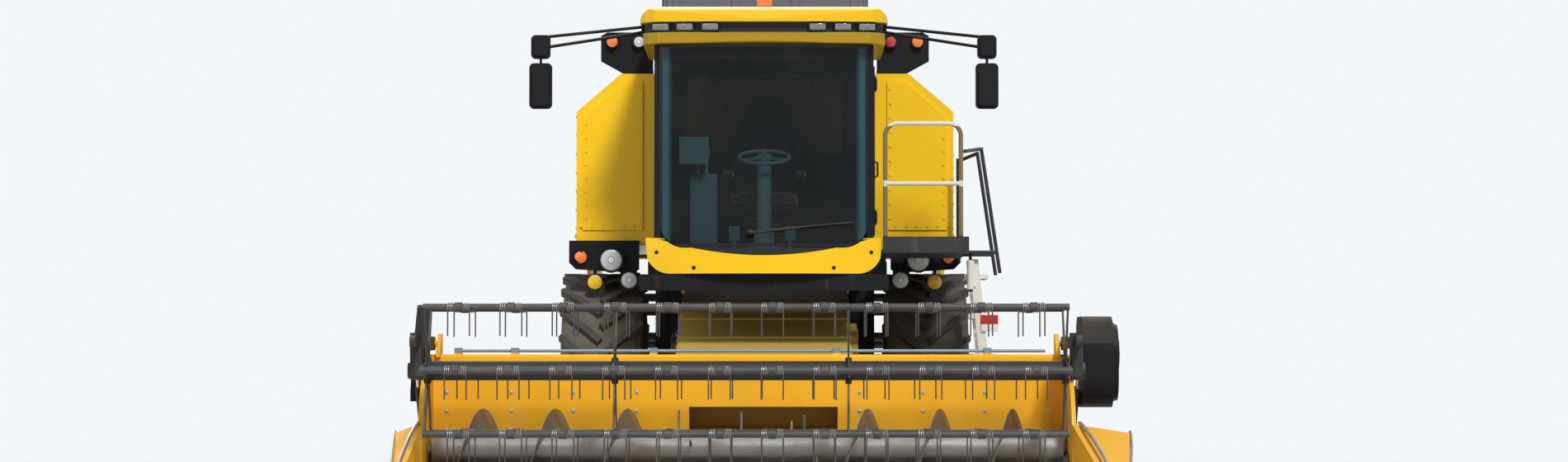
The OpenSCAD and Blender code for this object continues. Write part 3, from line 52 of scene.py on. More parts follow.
# Round lamps on each side: x, z, radius of the lens and y of its seat
HEAD_LAMPS = ((1.200, 1.870, 0.087, -0.628), (1.060, 1.712, 0.065, -0.637))
BAR_INDICATOR = (1.440, 1.893, 0.048, -0.616)
CORNER_OUTER = (1.200, 3.590, 0.050, -0.513)
CORNER_INNER = (0.990, 3.590, 0.050, -0.513)
TAIL_Y, TAIL_Z, TAIL_R = 4.055, 1.930, 0.028

PI = math.pi
SIDES = (-1, 1)
LEFT, RIGHT, FORWARD, BACKWARD = (1, 0, 0), (-1, 0, 0), (0, -1, 0), (0, 1, 0)
UP, DOWN = (0, 0, 1), (0, 0, -1)

scene = bpy.context.scene
scene.view_settings.view_transform = "Standard"


# Camera, floor and light
def put(obj):
    scene.collection.objects.link(obj)
    return obj


# The eye was placed from the photograph: about 30 m away, 0.95 m up, and pitched up a little
EYE = (0.15, -30.4, 0.95)
EYE_PITCH = math.radians(2.228)
cam_data = bpy.data.cameras.new("camera")
cam_data.sensor_width = 36.0
cam_data.lens = 86.7
cam_data.clip_end = 2000.0
cam = put(bpy.data.objects.new("camera", cam_data))
cam.location = EYE
cam.rotation_euler = (PI / 2 + EYE_PITCH, 0.0, 0.0)
scene.camera = cam

BACKDROP = (0.90, 0.925, 0.95, 1.0)
FLOOR_RINGS = (6.0, 12.0, 20.0, 40.0, 600.0)
FLOOR_FADE = (7.0, 19.0)  # the floor turns into the backdrop between these distances


def add_node(tree, kind, **values):
    """A shader node with inputs set by name, where _ stands for a space."""
    n = tree.nodes.new("ShaderNode" + kind)
    for name, value in values.items():
        n.inputs[name.replace("_", " ")].default_value = value
    return n


def pick_shader(tree, mask, off, on):
    """Mix node that shows the second shader where mask is 1 and the first one elsewhere."""
    mix = add_node(tree, "MixShader")
    tree.links.new(mask, mix.inputs[0])
    tree.links.new(off.outputs[0], mix.inputs[1])
    tree.links.new(on.outputs[0], mix.inputs[2])
    return mix


def seen_directly(tree):
    """1 for a ray that shows the background itself, straight, mirrored or through glass."""
    path = add_node(tree, "LightPath")
    out = path.outputs["Is Camera Ray"]
    for name in ("Is Glossy Ray", "Is Transmission Ray"):
        either = add_node(tree, "Math")
        either.operation = "MAXIMUM"
        tree.links.new(out, either.inputs[0])
        tree.links.new(path.outputs[name], either.inputs[1])
        out = either.outputs[0]
    return out


def make_world():
    world = bpy.data.worlds.new("studio")
    world.use_nodes = True
    scene.world = world
    t = world.node_tree
    t.nodes.clear()
    out = add_node(t, "OutputWorld")
    lit = add_node(t, "Background", Color=(0.93, 0.96, 1.0, 1.0), Strength=0.38)
    shown = add_node(t, "Background", Color=BACKDROP, Strength=1.0)
    t.links.new(pick_shader(t, seen_directly(t), lit, shown).outputs[0], out.inputs["Surface"])


def floor_material():
    """Pale matt floor that turns into the backdrop's colour further out."""
    m = bpy.data.materials.new("studio_floor")
    m.use_nodes = True
    t = m.node_tree
    t.nodes.clear()
    out = add_node(t, "OutputMaterial")
    coord = add_node(t, "TexCoord")
    far = add_node(t, "VectorMath")
    far.operation = "LENGTH"
    t.links.new(coord.outputs["Object"], far.inputs[0])
    fade = add_node(t, "MapRange", From_Min=FLOOR_FADE[0], From_Max=FLOOR_FADE[1])
    fade.interpolation_type = "SMOOTHSTEP"
    t.links.new(far.outputs["Value"], fade.inputs["Value"])
    speck = add_node(t, "TexNoise", Scale=1.4, Detail=6.0)
    t.links.new(coord.outputs["Object"], speck.inputs["Vector"])
    tone = add_node(t, "Mix")
    tone.data_type = "RGBA"
    tone.inputs[6].default_value = (0.80, 0.81, 0.82, 1.0)
    tone.inputs[7].default_value = (0.86, 0.865, 0.87, 1.0)
    t.links.new(speck.outputs[0], tone.inputs[0])
    matt = add_node(t, "BsdfDiffuse")
    t.links.new(tone.outputs[2], matt.inputs["Color"])
    glow = add_node(t, "Emission", Color=BACKDROP)
    dim = add_node(t, "Emission", Color=(0.42, 0.43, 0.44, 1.0))
    outer = pick_shader(t, seen_directly(t), dim, glow)
    t.links.new(pick_shader(t, fade.outputs[0], matt, outer).outputs[0], out.inputs["Surface"])
    return m


def make_floor():
    bm = bmesh.new()
    count = 48
    centre = bm.verts.new((0, 0, 0))
    last = None
    for r in FLOOR_RINGS:
        turns = [2 * PI * i / count for i in range(count)]
        ring = [bm.verts.new((r * math.cos(a), r * math.sin(a), 0)) for a in turns]
        for i in range(count):
            j = (i + 1) % count
            if last is None:
                bm.faces.new((centre, ring[i], ring[j]))
            else:
                bm.faces.new((last[i], ring[i], ring[j], last[j]))
        last = ring
    mesh = bpy.data.meshes.new("floor")
    bm.to_mesh(mesh)
    bm.free()
    mesh.materials.append(floor_material())
    obj = put(bpy.data.objects.new("floor", mesh))
    obj.location = (0, 0, -0.002)


def make_suns():
    table = [
        # name, direction it comes from, strength, soft angle in degrees
        ("key", (0.22, -0.74, 0.64), 2.45, 9.0),
        ("fill", (-0.80, -0.50, 0.35), 0.40, 50.0),
        ("rear", (-0.30, 0.85, 0.55), 0.80, 40.0),
    ]
    for name, come, strength, angle in table:
        data = bpy.data.lights.new(name, "SUN")
        data.energy = strength
        data.angle = math.radians(angle)
        lamp = put(bpy.data.objects.new(name, data))
        lamp.rotation_euler = Vector(come).to_track_quat("Z", "Y").to_euler()


make_world()
make_floor()
make_suns()


# Materials
class Mat:
    """A Principled material with short ways to add nodes."""

    def __init__(self, name, color, rough, metal=0.0):
        self.m = bpy.data.materials.new(name)
        self.m.use_nodes = True
        self.t = self.m.node_tree
        self.b = self.t.nodes["Principled BSDF"]
        self.b.inputs["Base Color"].default_value = (*color, 1.0)
        self.b.inputs["Roughness"].default_value = rough
        self.b.inputs["Metallic"].default_value = metal
        self.coord = add_node(self.t, "TexCoord").outputs["Object"]

    def set(self, name, value):
        self.b.inputs[name].default_value = value

    def join(self, a, b):
        self.t.links.new(a, b)

    def into(self, name, out):
        self.join(out, self.b.inputs[name])

    def scaled(self, sx, sy, sz):
        n = add_node(self.t, "VectorMath")
        n.operation = "MULTIPLY"
        self.join(self.coord, n.inputs[0])
        n.inputs[1].default_value = (sx, sy, sz)
        return n.outputs[0]

    def texture(self, kind, vector=None, **values):
        n = add_node(self.t, kind, **values)
        self.join(vector or self.coord, n.inputs["Vector"])
        return n

    def noise(self, scale, detail=4.0, rough=0.55, vector=None, distort=0.0):
        return self.texture("TexNoise", vector, Scale=scale, Detail=detail, Roughness=rough,
                            Distortion=distort).outputs[0]

    def cells(self, scale, vector=None):
        return self.texture("TexVoronoi", vector, Scale=scale).outputs["Distance"]

    def waves(self, scale):
        return self.texture("TexWave", Scale=scale).outputs[1]

    def fit(self, value, a, b, c=0.0, d=1.0):
        """value moved from the range a to b into the range c to d, and held there."""
        n = add_node(self.t, "MapRange", From_Min=a, From_Max=b, To_Min=c, To_Max=d)
        self.join(value, n.inputs["Value"])
        return n.outputs[0]

    def math(self, op, a, b=0.0):
        n = add_node(self.t, "Math")
        n.operation = op
        for i, v in enumerate((a, b)):
            if isinstance(v, (int, float)):
                n.inputs[i].default_value = v
            else:
                self.join(v, n.inputs[i])
        return n.outputs[0]

    def times(self, a, b):
        return self.math("MULTIPLY", a, b)

    def plus(self, a, b):
        return self.math("ADD", a, b)

    def minus(self, a, b):
        return self.math("SUBTRACT", a, b)

    def hypot(self, a, b):
        return self.math("SQRT", self.plus(self.times(a, a), self.times(b, b)))

    def from_axis(self, y, z):
        """Distance from the line along X through y and z."""
        return self.hypot(self.minus(self.axis(1), y), self.minus(self.axis(2), z))

    def mix(self, fac, a, b):
        n = add_node(self.t, "Mix")
        n.data_type = "RGBA"
        self.join(fac, n.inputs[0])
        for i, v in ((6, a), (7, b)):
            if isinstance(v, tuple):
                n.inputs[i].default_value = (*v, 1.0)
            else:
                self.join(v, n.inputs[i])
        return n.outputs[2]

    def axis(self, i, vector=None):
        n = add_node(self.t, "SeparateXYZ")
        self.join(vector or self.coord, n.inputs[0])
        return n.outputs[i]

    def up(self):
        """1 on a face that looks straight up, 0 on a wall."""
        return self.axis(2, add_node(self.t, "NewGeometry").outputs["Normal"])

    def near(self, out, a, b, soft=0.002):
        """1 where out lies between a and b, with soft edges."""
        above = self.fit(out, a - soft, a + soft)
        return self.times(above, self.fit(out, b + soft, b - soft))

    def apart(self, out, a, soft=0.002):
        """1 where out is further than a from zero."""
        return self.fit(self.math("ABSOLUTE", out), a - soft, a + soft)

    def over(self, mask, color, rough, metal=0.0):
        """Another finish laid over the one so far where mask is 1."""
        for name, value in (("Base Color", color), ("Roughness", rough), ("Metallic", metal)):
            old = self.b.inputs[name]
            if name == "Base Color":
                before = old.links[0].from_socket if old.links else tuple(old.default_value)[:3]
                self.join(self.mix(mask, before, value), old)
                continue
            before = old.links[0].from_socket if old.links else old.default_value
            keep = self.times(self.minus(1.0, mask), before)
            self.join(self.plus(keep, self.times(mask, value)), old)

    def bump(self, height, strength, distance, under=None):
        n = add_node(self.t, "Bump", Strength=strength, Distance=distance)
        self.join(height, n.inputs["Height"])
        if under is not None:
            self.join(under, n.inputs["Normal"])
        return n.outputs[0]


DUST = (0.46, 0.37, 0.23)


def scale_color(c, k):
    return tuple(min(1.0, v * k) for v in c)


def paint(name, color, rough=0.30, dust=0.22, coat=0.12, low=1.3, fade=0.06, gloss=0.28,
          more=None):
    """Sprayed panel: slow waviness, fine peel, streaks, and dust on tops and under low."""
    m = Mat(name, color, rough)
    broad = m.noise(0.9, 3.0)
    fine = m.noise(22.0, 6.0, 0.6)
    streak = m.noise(1.0, 5.0, 0.6, m.scaled(16.0, 16.0, 1.3))
    shade = m.mix(m.fit(broad, 0.3, 0.7), scale_color(color, 1 - fade),
                  scale_color(color, 1 + fade))
    top = m.fit(m.up(), 0.25, 0.95)
    foot = m.fit(m.axis(2), low, 0.1)
    patch = m.fit(fine, 0.35, 0.75)
    lying = m.times(top, m.fit(broad, 0.25, 0.6, 0.25, 1.0))
    low_down = m.times(foot, m.fit(streak, 0.35, 0.7, 0.15, 1.0))
    run = m.times(m.fit(streak, 0.56, 0.78), 0.28)
    total = m.plus(m.plus(m.times(lying, 0.55), m.times(low_down, 0.75)), run)
    total = m.times(total, m.plus(m.times(patch, 0.5), 0.6))
    amount = m.math("MINIMUM", m.times(total, dust), 0.9)
    m.into("Base Color", m.mix(amount, shade, DUST))
    m.into("Roughness", m.fit(amount, 0.0, 0.6, rough, 0.82))
    m.set("Coat Weight", coat)
    m.set("Coat Roughness", 0.12)
    m.set("Specular IOR Level", gloss)
    wave = m.bump(m.noise(1.7, 2.0), 0.35, 0.004)
    m.into("Normal", m.bump(fine, 0.12, 0.0006, wave))
    if more:
        more(m)
    return m.m


def worn_steel(name, color, rough=0.36, rust=0.35, metal=0.9, more=None):
    """Steel polished by crop, with a brown film away from the rubbed places."""
    m = Mat(name, color, rough, metal)
    cloud = m.noise(3.2, 6.0, 0.62, distort=0.6)
    grain = m.noise(1.0, 4.0, 0.5, m.scaled(9.0, 160.0, 160.0))
    tone = m.mix(m.fit(grain, 0.3, 0.7), scale_color(color, 0.82), scale_color(color, 1.12))
    film = m.times(m.fit(cloud, 0.48, 0.74), rust)
    m.into("Base Color", m.mix(film, tone, (0.30, 0.19, 0.11)))
    m.into("Roughness", m.fit(film, 0.0, 0.5, rough, 0.75))
    m.into("Normal", m.bump(grain, 0.15, 0.0006))
    if more:
        more(m)
    return m.m


def rubber(name, axle, groove):
    """Tyre: dusty between the lugs and on the wall, scuffed dark on the lugs' tops."""
    y, outer = axle
    m = Mat(name, (0.03, 0.03, 0.032), 0.8)
    cloud = m.noise(7.0, 6.0, 0.65)
    fine = m.noise(60.0, 4.0)
    deep = m.fit(m.from_axis(y + SHIFT, outer), outer - 0.006, outer - groove, 0.15, 0.75)
    dirt = m.times(deep, m.fit(cloud, 0.28, 0.72, 0.35, 1.0))
    dark = m.mix(m.fit(fine, 0.3, 0.7), (0.018, 0.018, 0.019), (0.045, 0.044, 0.043))
    m.into("Base Color", m.mix(m.times(dirt, 0.5), dark, (0.30, 0.25, 0.17)))
    m.into("Roughness", m.fit(cloud, 0.3, 0.7, 0.68, 0.92))
    m.into("Normal", m.bump(fine, 0.35, 0.0015, m.bump(cloud, 0.3, 0.004)))
    return m.m


def plastic(name, color, rough=0.5, grain=140.0, dust=0.35):
    """Moulded plastic with a fine leather grain and settled dust."""
    m = Mat(name, color, rough)
    fine = m.cells(grain)
    broad = m.noise(2.4, 4.0)
    top = m.times(m.fit(m.up(), 0.2, 0.95), m.fit(broad, 0.3, 0.7, 0.3, 1.0))
    amount = m.times(top, dust)
    tone = m.mix(m.fit(broad, 0.3, 0.7), scale_color(color, 0.85), scale_color(color, 1.2))
    m.into("Base Color", m.mix(amount, tone, DUST))
    m.into("Roughness", m.fit(amount, 0.0, 0.5, rough, 0.85))
    m.set("Specular IOR Level", 0.15)
    m.into("Normal", m.bump(fine, 0.2, 0.0008))
    return m.m


def glass(name, color, alpha, border=None):
    """Tinted pane with a thin dust film. border gives half the width between its printed
    sides and the heights of its printed edges; inside the sides the pane has a teal strip,
    which is a painted reflection of the sky."""
    m = Mat(name, color, 0.04)
    film = m.times(m.fit(m.noise(1.6, 3.0, 0.5), 0.45, 0.9), 0.10)
    m.into("Base Color", m.mix(film, color, (0.16, 0.15, 0.12)))
    m.into("Roughness", m.fit(film, 0.0, 0.25, 0.08, 0.25))
    alpha = m.plus(film, alpha)
    if border:
        half, low, high = border
        # Teal strip inside the sides: a painted reflection of the sky
        side = m.times(m.apart(m.axis(0), half - 0.055, 0.020), 0.85)
        m.over(side, (0.028, 0.110, 0.130), 0.08)
        alpha = m.plus(alpha, m.times(side, 0.35))
        z = m.axis(2)
        edge = m.math("MAXIMUM", m.apart(m.axis(0), half), m.fit(z, low + 0.002, low - 0.002))
        edge = m.math("MAXIMUM", edge, m.fit(z, high - 0.002, high + 0.002))
        m.over(edge, (0.008, 0.008, 0.009), 0.12)
        alpha = m.math("MAXIMUM", edge, alpha)
    m.into("Alpha", alpha)
    m.set("Specular IOR Level", 0.3)
    m.into("Normal", m.bump(m.noise(0.8, 2.0), 0.03, 0.003))
    return m.m


def lens(name, color, strength=0.0, ribs=70.0, more=None):
    """Lamp lens with moulded ribs."""
    m = Mat(name, color, 0.12)
    wave = m.waves(ribs)
    tone = m.mix(wave, scale_color(color, 0.72), scale_color(color, 1.15))
    m.into("Base Color", tone)
    m.set("Coat Weight", 0.8)
    m.set("Coat Roughness", 0.05)
    if strength > 0:
        m.set("Emission Color", (*color, 1.0))
        m.set("Emission Strength", strength)
    m.into("Normal", m.bump(wave, 0.4, 0.0015))
    if more:
        more(m)
    return m.m


def cloth(name, color):
    """Woven seat fabric."""
    m = Mat(name, color, 0.9)
    light, dark, gap = ((*scale_color(color, k), 1.0) for k in (1.35, 0.8, 0.4))
    weave = m.texture("TexBrick", Scale=90.0, Color1=light, Color2=dark, Mortar=gap)
    m.into("Base Color", weave.outputs["Color"])
    m.set("Sheen Weight", 0.4)
    m.into("Normal", m.bump(weave.outputs["Fac"], 0.5, 0.0008))
    return m.m


YELLOW = (0.96, 0.575, 0.005)
VISOR_Z, BAND_LOW, BAND_HIGH = 3.38, 3.5235, 3.5995  # visor's underside, lamp band's edges
TROUGH_HALF, PIPE_HALF = 2.283, 2.19  # half lengths of the rubbed trough and of the oil pipe
RAILING_Z = 2.01  # the railing starts at this height above the deck
GLINT_BAND_Z = ((2.828, 2.890), (2.378, 2.422))  # heights of the pale bands painted on the railing as painted highlights
HANDRAIL_X = 1.491  # the handrails by the ladder lie further out than this


def roof_band(m):
    """A deeper yellow crown, a visor darkened with painted shade, and the black lamp band between
    them.
    """
    z = m.axis(2)
    m.over(m.fit(z, BAND_HIGH - 0.0005, BAND_HIGH + 0.0005), scale_color(YELLOW, 0.86), 0.34)
    # Visor: a darker copy of the yellow, painted shade under the crown
    m.over(m.near(z, VISOR_Z, BAND_LOW, 0.0005), scale_color(YELLOW, 0.40), 0.45)
    m.over(m.near(z, BAND_LOW, BAND_HIGH, 0.0005), (0.012, 0.012, 0.014), 0.5)


def screen_seal(m):
    """Black seal under the windscreen, deepest in the middle of the bumper."""
    x, z = m.axis(0), m.axis(2)
    bow = m.times(m.times(x, x), 0.20)
    above = m.fit(m.minus(z, bow), 1.858, 1.861)
    m.over(m.times(above, m.fit(z, 1.984, 1.980)), (0.010, 0.010, 0.011), 0.5)


def lamp_face(m):
    """Bulb, reflector rings and dark rim seen through each round front lens."""
    x, z = m.math("ABSOLUTE", m.axis(0)), m.axis(2)
    nearest = 9.0  # distance from the nearest lamp's middle, in radii of its lens
    for cx, cz, r, _ in (*HEAD_LAMPS, CORNER_INNER):
        far = m.hypot(m.minus(x, cx), m.minus(z, cz))
        nearest = m.math("MINIMUM", m.math("DIVIDE", far, r), nearest)
    rings = m.math("SINE", m.times(nearest, 34.0))
    m.over(m.times(m.fit(rings, -0.2, 1.0), 0.35), (0.30, 0.31, 0.33), 0.12)
    m.over(m.fit(nearest, 0.30, 0.22), (0.86, 0.87, 0.88), 0.08)
    m.over(m.near(nearest, 0.26, 0.33, 0.02), (0.16, 0.16, 0.17), 0.2)
    m.over(m.fit(nearest, 0.88, 0.92), (0.02, 0.02, 0.02), 0.4)


def crop_wear(m):
    """Trough and back wall rubbed bare by crop, and the beam's oil pipe in its own finish."""
    x, y, z = (m.axis(i) for i in range(3))
    x = m.minus(x, HEADER_X)
    inside = m.times(m.fit(m.apart(x, TROUGH_HALF), 1.0, 0.0),
                     m.near(y, -3.56 + SHIFT, WALL_Y + SHIFT))
    inside = m.times(inside, m.fit(z, 0.60, 0.30))
    patches = m.noise(3.0, 6.0, 0.65, m.scaled(0.5, 3.0, 3.0))
    m.over(m.times(inside, m.fit(patches, 0.36, 0.52)), (0.33, 0.27, 0.20), 0.42, 0.55)
    pipe = m.times(m.near(z, 1.1305, 1.2), m.near(y, -2.74 + SHIFT, -2.66 + SHIFT))
    pipe = m.times(pipe, m.fit(m.apart(x, PIPE_HALF), 1.0, 0.0))
    m.over(pipe, (0.22, 0.28, 0.34), 0.4, 0.3)


def drives_dark(m):
    """Shafts and pulleys outside the housing are bare cast metal."""
    m.over(m.apart(m.axis(0), HOUSING_X + 0.020), (0.10, 0.10, 0.105), 0.5, 0.5)


def reel_parts(m):
    """The middle tube and its hubs are black."""
    far = m.from_axis(REEL_Y + SHIFT, REEL_Z)
    m.over(m.fit(far, 0.17, 0.165), (0.009, 0.009, 0.010), 0.6)


def tread_plate(m):
    """Raised bars in the deck, a dull brown railing with pale bands painted on as painted
    highlights, and dark handrails.
    """
    flat = m.fit(m.up(), 0.9, 0.99)
    m.into("Normal", m.bump(m.times(m.waves(18.0), flat), 0.7, 0.004))
    z = m.axis(2)
    m.over(m.fit(z, RAILING_Z - 0.005, RAILING_Z + 0.005), (0.20, 0.15, 0.06), 0.45)
    # Two pale bands on the railing: painted highlights where its tubes catch the light
    painted_glint = m.math("MAXIMUM", m.near(z, *GLINT_BAND_Z[0]), m.near(z, *GLINT_BAND_Z[1]))
    m.over(painted_glint, (0.66, 0.63, 0.54), 0.40)
    further = m.fit(m.axis(0), HANDRAIL_X - 0.001, HANDRAIL_X + 0.001)
    m.over(further, (0.03, 0.03, 0.033), 0.5)


def red_band(m):
    """A red band across the middle of the white board."""
    m.over(m.near(m.axis(2), 1.355, 1.425), (0.55, 0.02, 0.012), 0.35)


def punched(m):
    """Fine round holes over the dust screen's face."""
    hole = m.fit(m.cells(58.0, m.scaled(0.2, 1.0, 1.0)), 0.42, 0.34)
    m.over(hole, (0.002, 0.002, 0.002), 0.9)
    m.into("Normal", m.bump(hole, -0.5, 0.002))


mats = {
    "yellow": paint("yellow_panel", YELLOW),
    "roof": paint("yellow_roof", YELLOW, more=roof_band),
    "bumper": paint("yellow_bumper", YELLOW, more=screen_seal),
    "yellow_low": paint("yellow_header", (0.90, 0.44, 0.005), rough=0.42, dust=0.32, coat=0.05,
                        low=1.2, more=crop_wear),
    # The feeder's duller, darker yellow is painted shade from the cab above it, with dust over it
    "feeder": paint("yellow_feeder_painted_shade", (0.62, 0.42, 0.05), rough=0.5, dust=0.5, coat=0.1, low=1.9),
    "black": paint("black_chassis", (0.008, 0.009, 0.011), rough=0.5, dust=0.38, coat=0.0,
                   fade=0.2, gloss=0.15),
    "cab": paint("black_cab", (0.006, 0.008, 0.013), rough=0.35, dust=0.15, coat=0.05, low=0.9,
                 fade=0.15, gloss=0.15),
    "deck": paint("grey_deck", (0.03, 0.032, 0.035), rough=0.5, dust=0.4, coat=0.0, low=1.2,
                  fade=0.12, gloss=0.25, more=tread_plate),
    "cover": paint("grey_cover", (0.120, 0.132, 0.165), rough=0.5, dust=0.3, coat=0.05, low=1.2,
                   fade=0.08),
    "machine": paint("grey_housing", (0.36, 0.37, 0.37), rough=0.5, dust=0.8, coat=0.1, low=1.9,
                     fade=0.08, more=drives_dark),
    "cream": paint("cream_ladder", (0.74, 0.72, 0.64), rough=0.4, dust=0.6, coat=0.2, low=1.7),
    "arms": paint("dark_arms", (0.022, 0.022, 0.024), rough=0.5, dust=0.4, coat=0.0, low=1.5,
                  fade=0.15, gloss=0.25),
    "cast": paint("cast_engine", (0.20, 0.20, 0.20), rough=0.6, dust=0.7, coat=0.0, low=1.0,
                  fade=0.2),
    "board": paint("marker_board", (0.80, 0.79, 0.77), rough=0.4, dust=0.2, coat=0.1, low=1.0,
                   more=red_band),
    "grille": paint("dark_screen", (0.03, 0.03, 0.032), rough=0.55, dust=0.9, coat=0.0, low=1.0,
                    fade=0.2, more=punched),
    "reel": worn_steel("reel_steel", (0.050, 0.048, 0.047), 0.55, 0.2, 0.15, more=reel_parts),
    "steel": worn_steel("bare_steel", (0.50, 0.49, 0.47)),
    "flight": worn_steel("auger_steel", (0.30, 0.29, 0.27), 0.46, 0.6, 0.7),
    "spring": worn_steel("spring_steel", (0.28, 0.27, 0.26), 0.40, 0.3, 0.6),
    "chrome": worn_steel("rod_chrome", (0.78, 0.78, 0.78), 0.12, 0.05),
    "mirror": worn_steel("mirror_face", (0.86, 0.88, 0.90), 0.03, 0.02, 1.0),
    "front_rubber": rubber("front_tyre", FRONT_AXLE, 0.05),
    "rear_rubber": rubber("rear_tyre", REAR_AXLE, 0.034),
    "belt": plastic("belt_rubber", (0.018, 0.018, 0.018), 0.75, 60.0, 0.3),
    "plastic": plastic("black_plastic", (0.008, 0.008, 0.010)),
    "teal": plastic("teal_controls", (0.11, 0.27, 0.31), dust=0.15),
    "guard": plastic("guard_plastic", (0.007, 0.007, 0.009), grain=90.0, dust=0.16),
    "screen": glass("windscreen_tint", (0.004, 0.008, 0.009), 0.36, (0.758, 1.950, 3.412)),
    "glass": glass("side_tint", (0.012, 0.022, 0.026), 0.5),
    "seat": cloth("seat_cloth", (0.045, 0.047, 0.055)),
    "amber": lens("amber_lens", (0.88, 0.21, 0.015), 0.12),
    "clear": lens("clear_lens", (0.66, 0.68, 0.70), 0.05, more=lamp_face),
    "dim": lens("roof_lamp_lens", (0.20, 0.20, 0.19)),
    # The yellow reflectors are no lamps, so their faint glow is painted light
    "glowing_reflector": lens("yellow_reflector_glow", (0.90, 0.52, 0.01), 0.05),
    "red": lens("red_lens", (0.55, 0.015, 0.01), 0.05),
    "display": lens("dark_display", (0.012, 0.018, 0.024), ribs=8.0),
}

DRESS = {
    "roof": ["cab_roof"],
    "bumper": ["cab_bumper"],
    "yellow": ["grain_tank", "unloading_auger", "shield_left", "shield_right",
               "engine_hood", "straw_hood", "front_rim_left", "front_rim_right",
               "rear_rim_left", "rear_rim_right"],
    "yellow_low": ["header_frame"],
    "feeder": ["feeder_house"],
    "black": ["frame", "rear_axle", "knuckle_left", "knuckle_right", "lift_barrels",
              "reel_barrels", "spreader_plate", "exhaust"],
    "cab": ["cab_frame", "cab_door"],
    "deck": ["platform"],
    "cover": ["cover_left", "cover_right", "cover_front", "cover_rear"],
    "machine": ["separator"],
    "cream": ["ladder"],
    "reel": ["reel"],
    "arms": ["reel_arms", "reel_carriage"],
    "steel": ["cutterbar", "tie_rod"],
    "flight": ["header_auger"],
    "chrome": ["lift_rods", "reel_rods"],
    "cast": ["engine"],
    "front_rubber": ["front_tyre_left", "front_tyre_right"],
    "rear_rubber": ["rear_tyre_left", "rear_tyre_right"],
    "screen": ["windscreen"],
    "glass": ["cab_glass", "door_glass"],
    "plastic": ["mirrors", "lamps"],
    "teal": ["controls"],
    "grille": ["dust_screen"],
    "guard": ["drive_guard"],
    "seat": ["seat"],
    "amber": ["beacon"],
}
for key, names in DRESS.items():
    for name in names:
        for part_slot in nodes[name].material_slots:
            part_slot.material = mats[key]


# Mesh building
class Build:
    """Gathers solids in one mesh, drawn in metres about the front axle."""

    def __init__(self):
        self.bm = bmesh.new()

    def box(self, x0, x1, y0, y1, z0, z1, bevel, turn=None):
        verts = bmesh.ops.create_cube(self.bm, size=1.0)["verts"]
        mid = Vector(((x0 + x1) / 2, (y0 + y1) / 2, (z0 + z1) / 2))
        size = (x1 - x0, y1 - y0, z1 - z0)
        for v in verts:
            v.co = Vector((v.co.x * size[0], v.co.y * size[1], v.co.z * size[2]))
        edges = list({e for v in verts for e in v.link_edges})
        made = bmesh.ops.bevel(self.bm, geom=edges, offset=min(bevel, min(size) * 0.45),
                               segments=2, affect="EDGES", profile=0.5)
        verts = {v for f in made["faces"] for v in f.verts} | {v for v in verts if v.is_valid}
        m = Matrix.Translation(mid) @ (turn.to_4x4() if turn else Matrix.Identity(4))
        for v in verts:
            v.co = m @ v.co

    def side_box(self, side, x0, x1, *rest):
        """A box from x0 to x1 on the left, side 1, or mirrored to the right, side -1."""
        self.box(*sorted((side * x0, side * x1)), *rest)

    def ring(self, centre, side, other, r, count):
        turns = [2 * PI * i / count for i in range(count)]
        return [self.bm.verts.new(centre + (side * math.cos(a) + other * math.sin(a)) * r)
                for a in turns]

    def lathe(self, origin, along, profile, count):
        """profile is a list of (distance along, radius)."""
        along = Vector(along).normalized()
        side = along.orthogonal().normalized()
        other = along.cross(side)
        origin = Vector(origin)
        rings = []
        for t, r in profile:
            if r <= 1e-6:
                rings.append([self.bm.verts.new(origin + along * t)])
            else:
                rings.append(self.ring(origin + along * t, side, other, r, count))
        for a, b in zip(rings, rings[1:]):
            for i in range(count):
                j = (i + 1) % count
                if len(a) == 1:
                    self.bm.faces.new((a[0], b[j], b[i]))
                elif len(b) == 1:
                    self.bm.faces.new((a[i], a[j], b[0]))
                else:
                    self.bm.faces.new((a[i], a[j], b[j], b[i]))

    def tube(self, points, r, count, closed=False):
        pts = [Vector(p) for p in points]
        n = len(pts)
        last = None
        rings = []
        for i, p in enumerate(pts):
            before = pts[i - 1] if i or closed else p
            after = pts[(i + 1) % n] if i < n - 1 or closed else p
            d = (after - before).normalized()
            if last is None:
                side = d.orthogonal().normalized()
            else:
                side = (last - d * last.dot(d)).normalized()
            last = side
            rings.append(self.ring(p, side, d.cross(side), r, count))
        pairs = list(zip(rings, rings[1:]))
        if closed:
            pairs.append((rings[-1], rings[0]))
        for a, b in pairs:
            for k in range(count):
                j = (k + 1) % count
                self.bm.faces.new((a[k], a[j], b[j], b[k]))
        if not closed:
            self.bm.faces.new(list(reversed(rings[0])))
            self.bm.faces.new(rings[-1])

    def done(self, name, material, body, angle=38.0):
        """Makes the object, with edges sharper than angle left sharp."""
        bmesh.ops.recalc_face_normals(self.bm, faces=self.bm.faces)
        mesh = bpy.data.meshes.new(name)
        self.bm.to_mesh(mesh)
        self.bm.free()
        mesh.transform(Matrix.Translation((0, SHIFT, 0)))
        for p in mesh.polygons:
            p.use_smooth = True
        mesh.set_sharp_from_angle(angle=math.radians(angle))
        mesh.materials.append(mats[material])
        obj = put(bpy.data.objects.new(name, mesh))
        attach(obj, body)
        return obj


def bezier(a, b, c, d, count):
    out = []
    for i in range(count + 1):
        t = i / count
        u = 1 - t
        weights = (u ** 3, 3 * t * u ** 2, 3 * u * t * t, t ** 3)
        out.append(tuple(sum(w * p[k] for w, p in zip(weights, (a, b, c, d))) for k in range(3)))
    return out


def dome(r, deep, *steps):
    """Lens profile of radius r, seated deep in its bowl, with steps of (height, share of r)."""
    return [(-deep, 0.0), (-deep, r), *((t, r * share) for t, share in steps)]


# Lamps and lenses
def bowed(x, half, back):
    """y of the roof's bowed front at x, for the plan of that half width, set back by back."""
    bow = 0.060
    big = (half * half + bow ** 2) / (2 * bow)
    return -2.140 + back + big - math.sqrt(big * big - x * x)


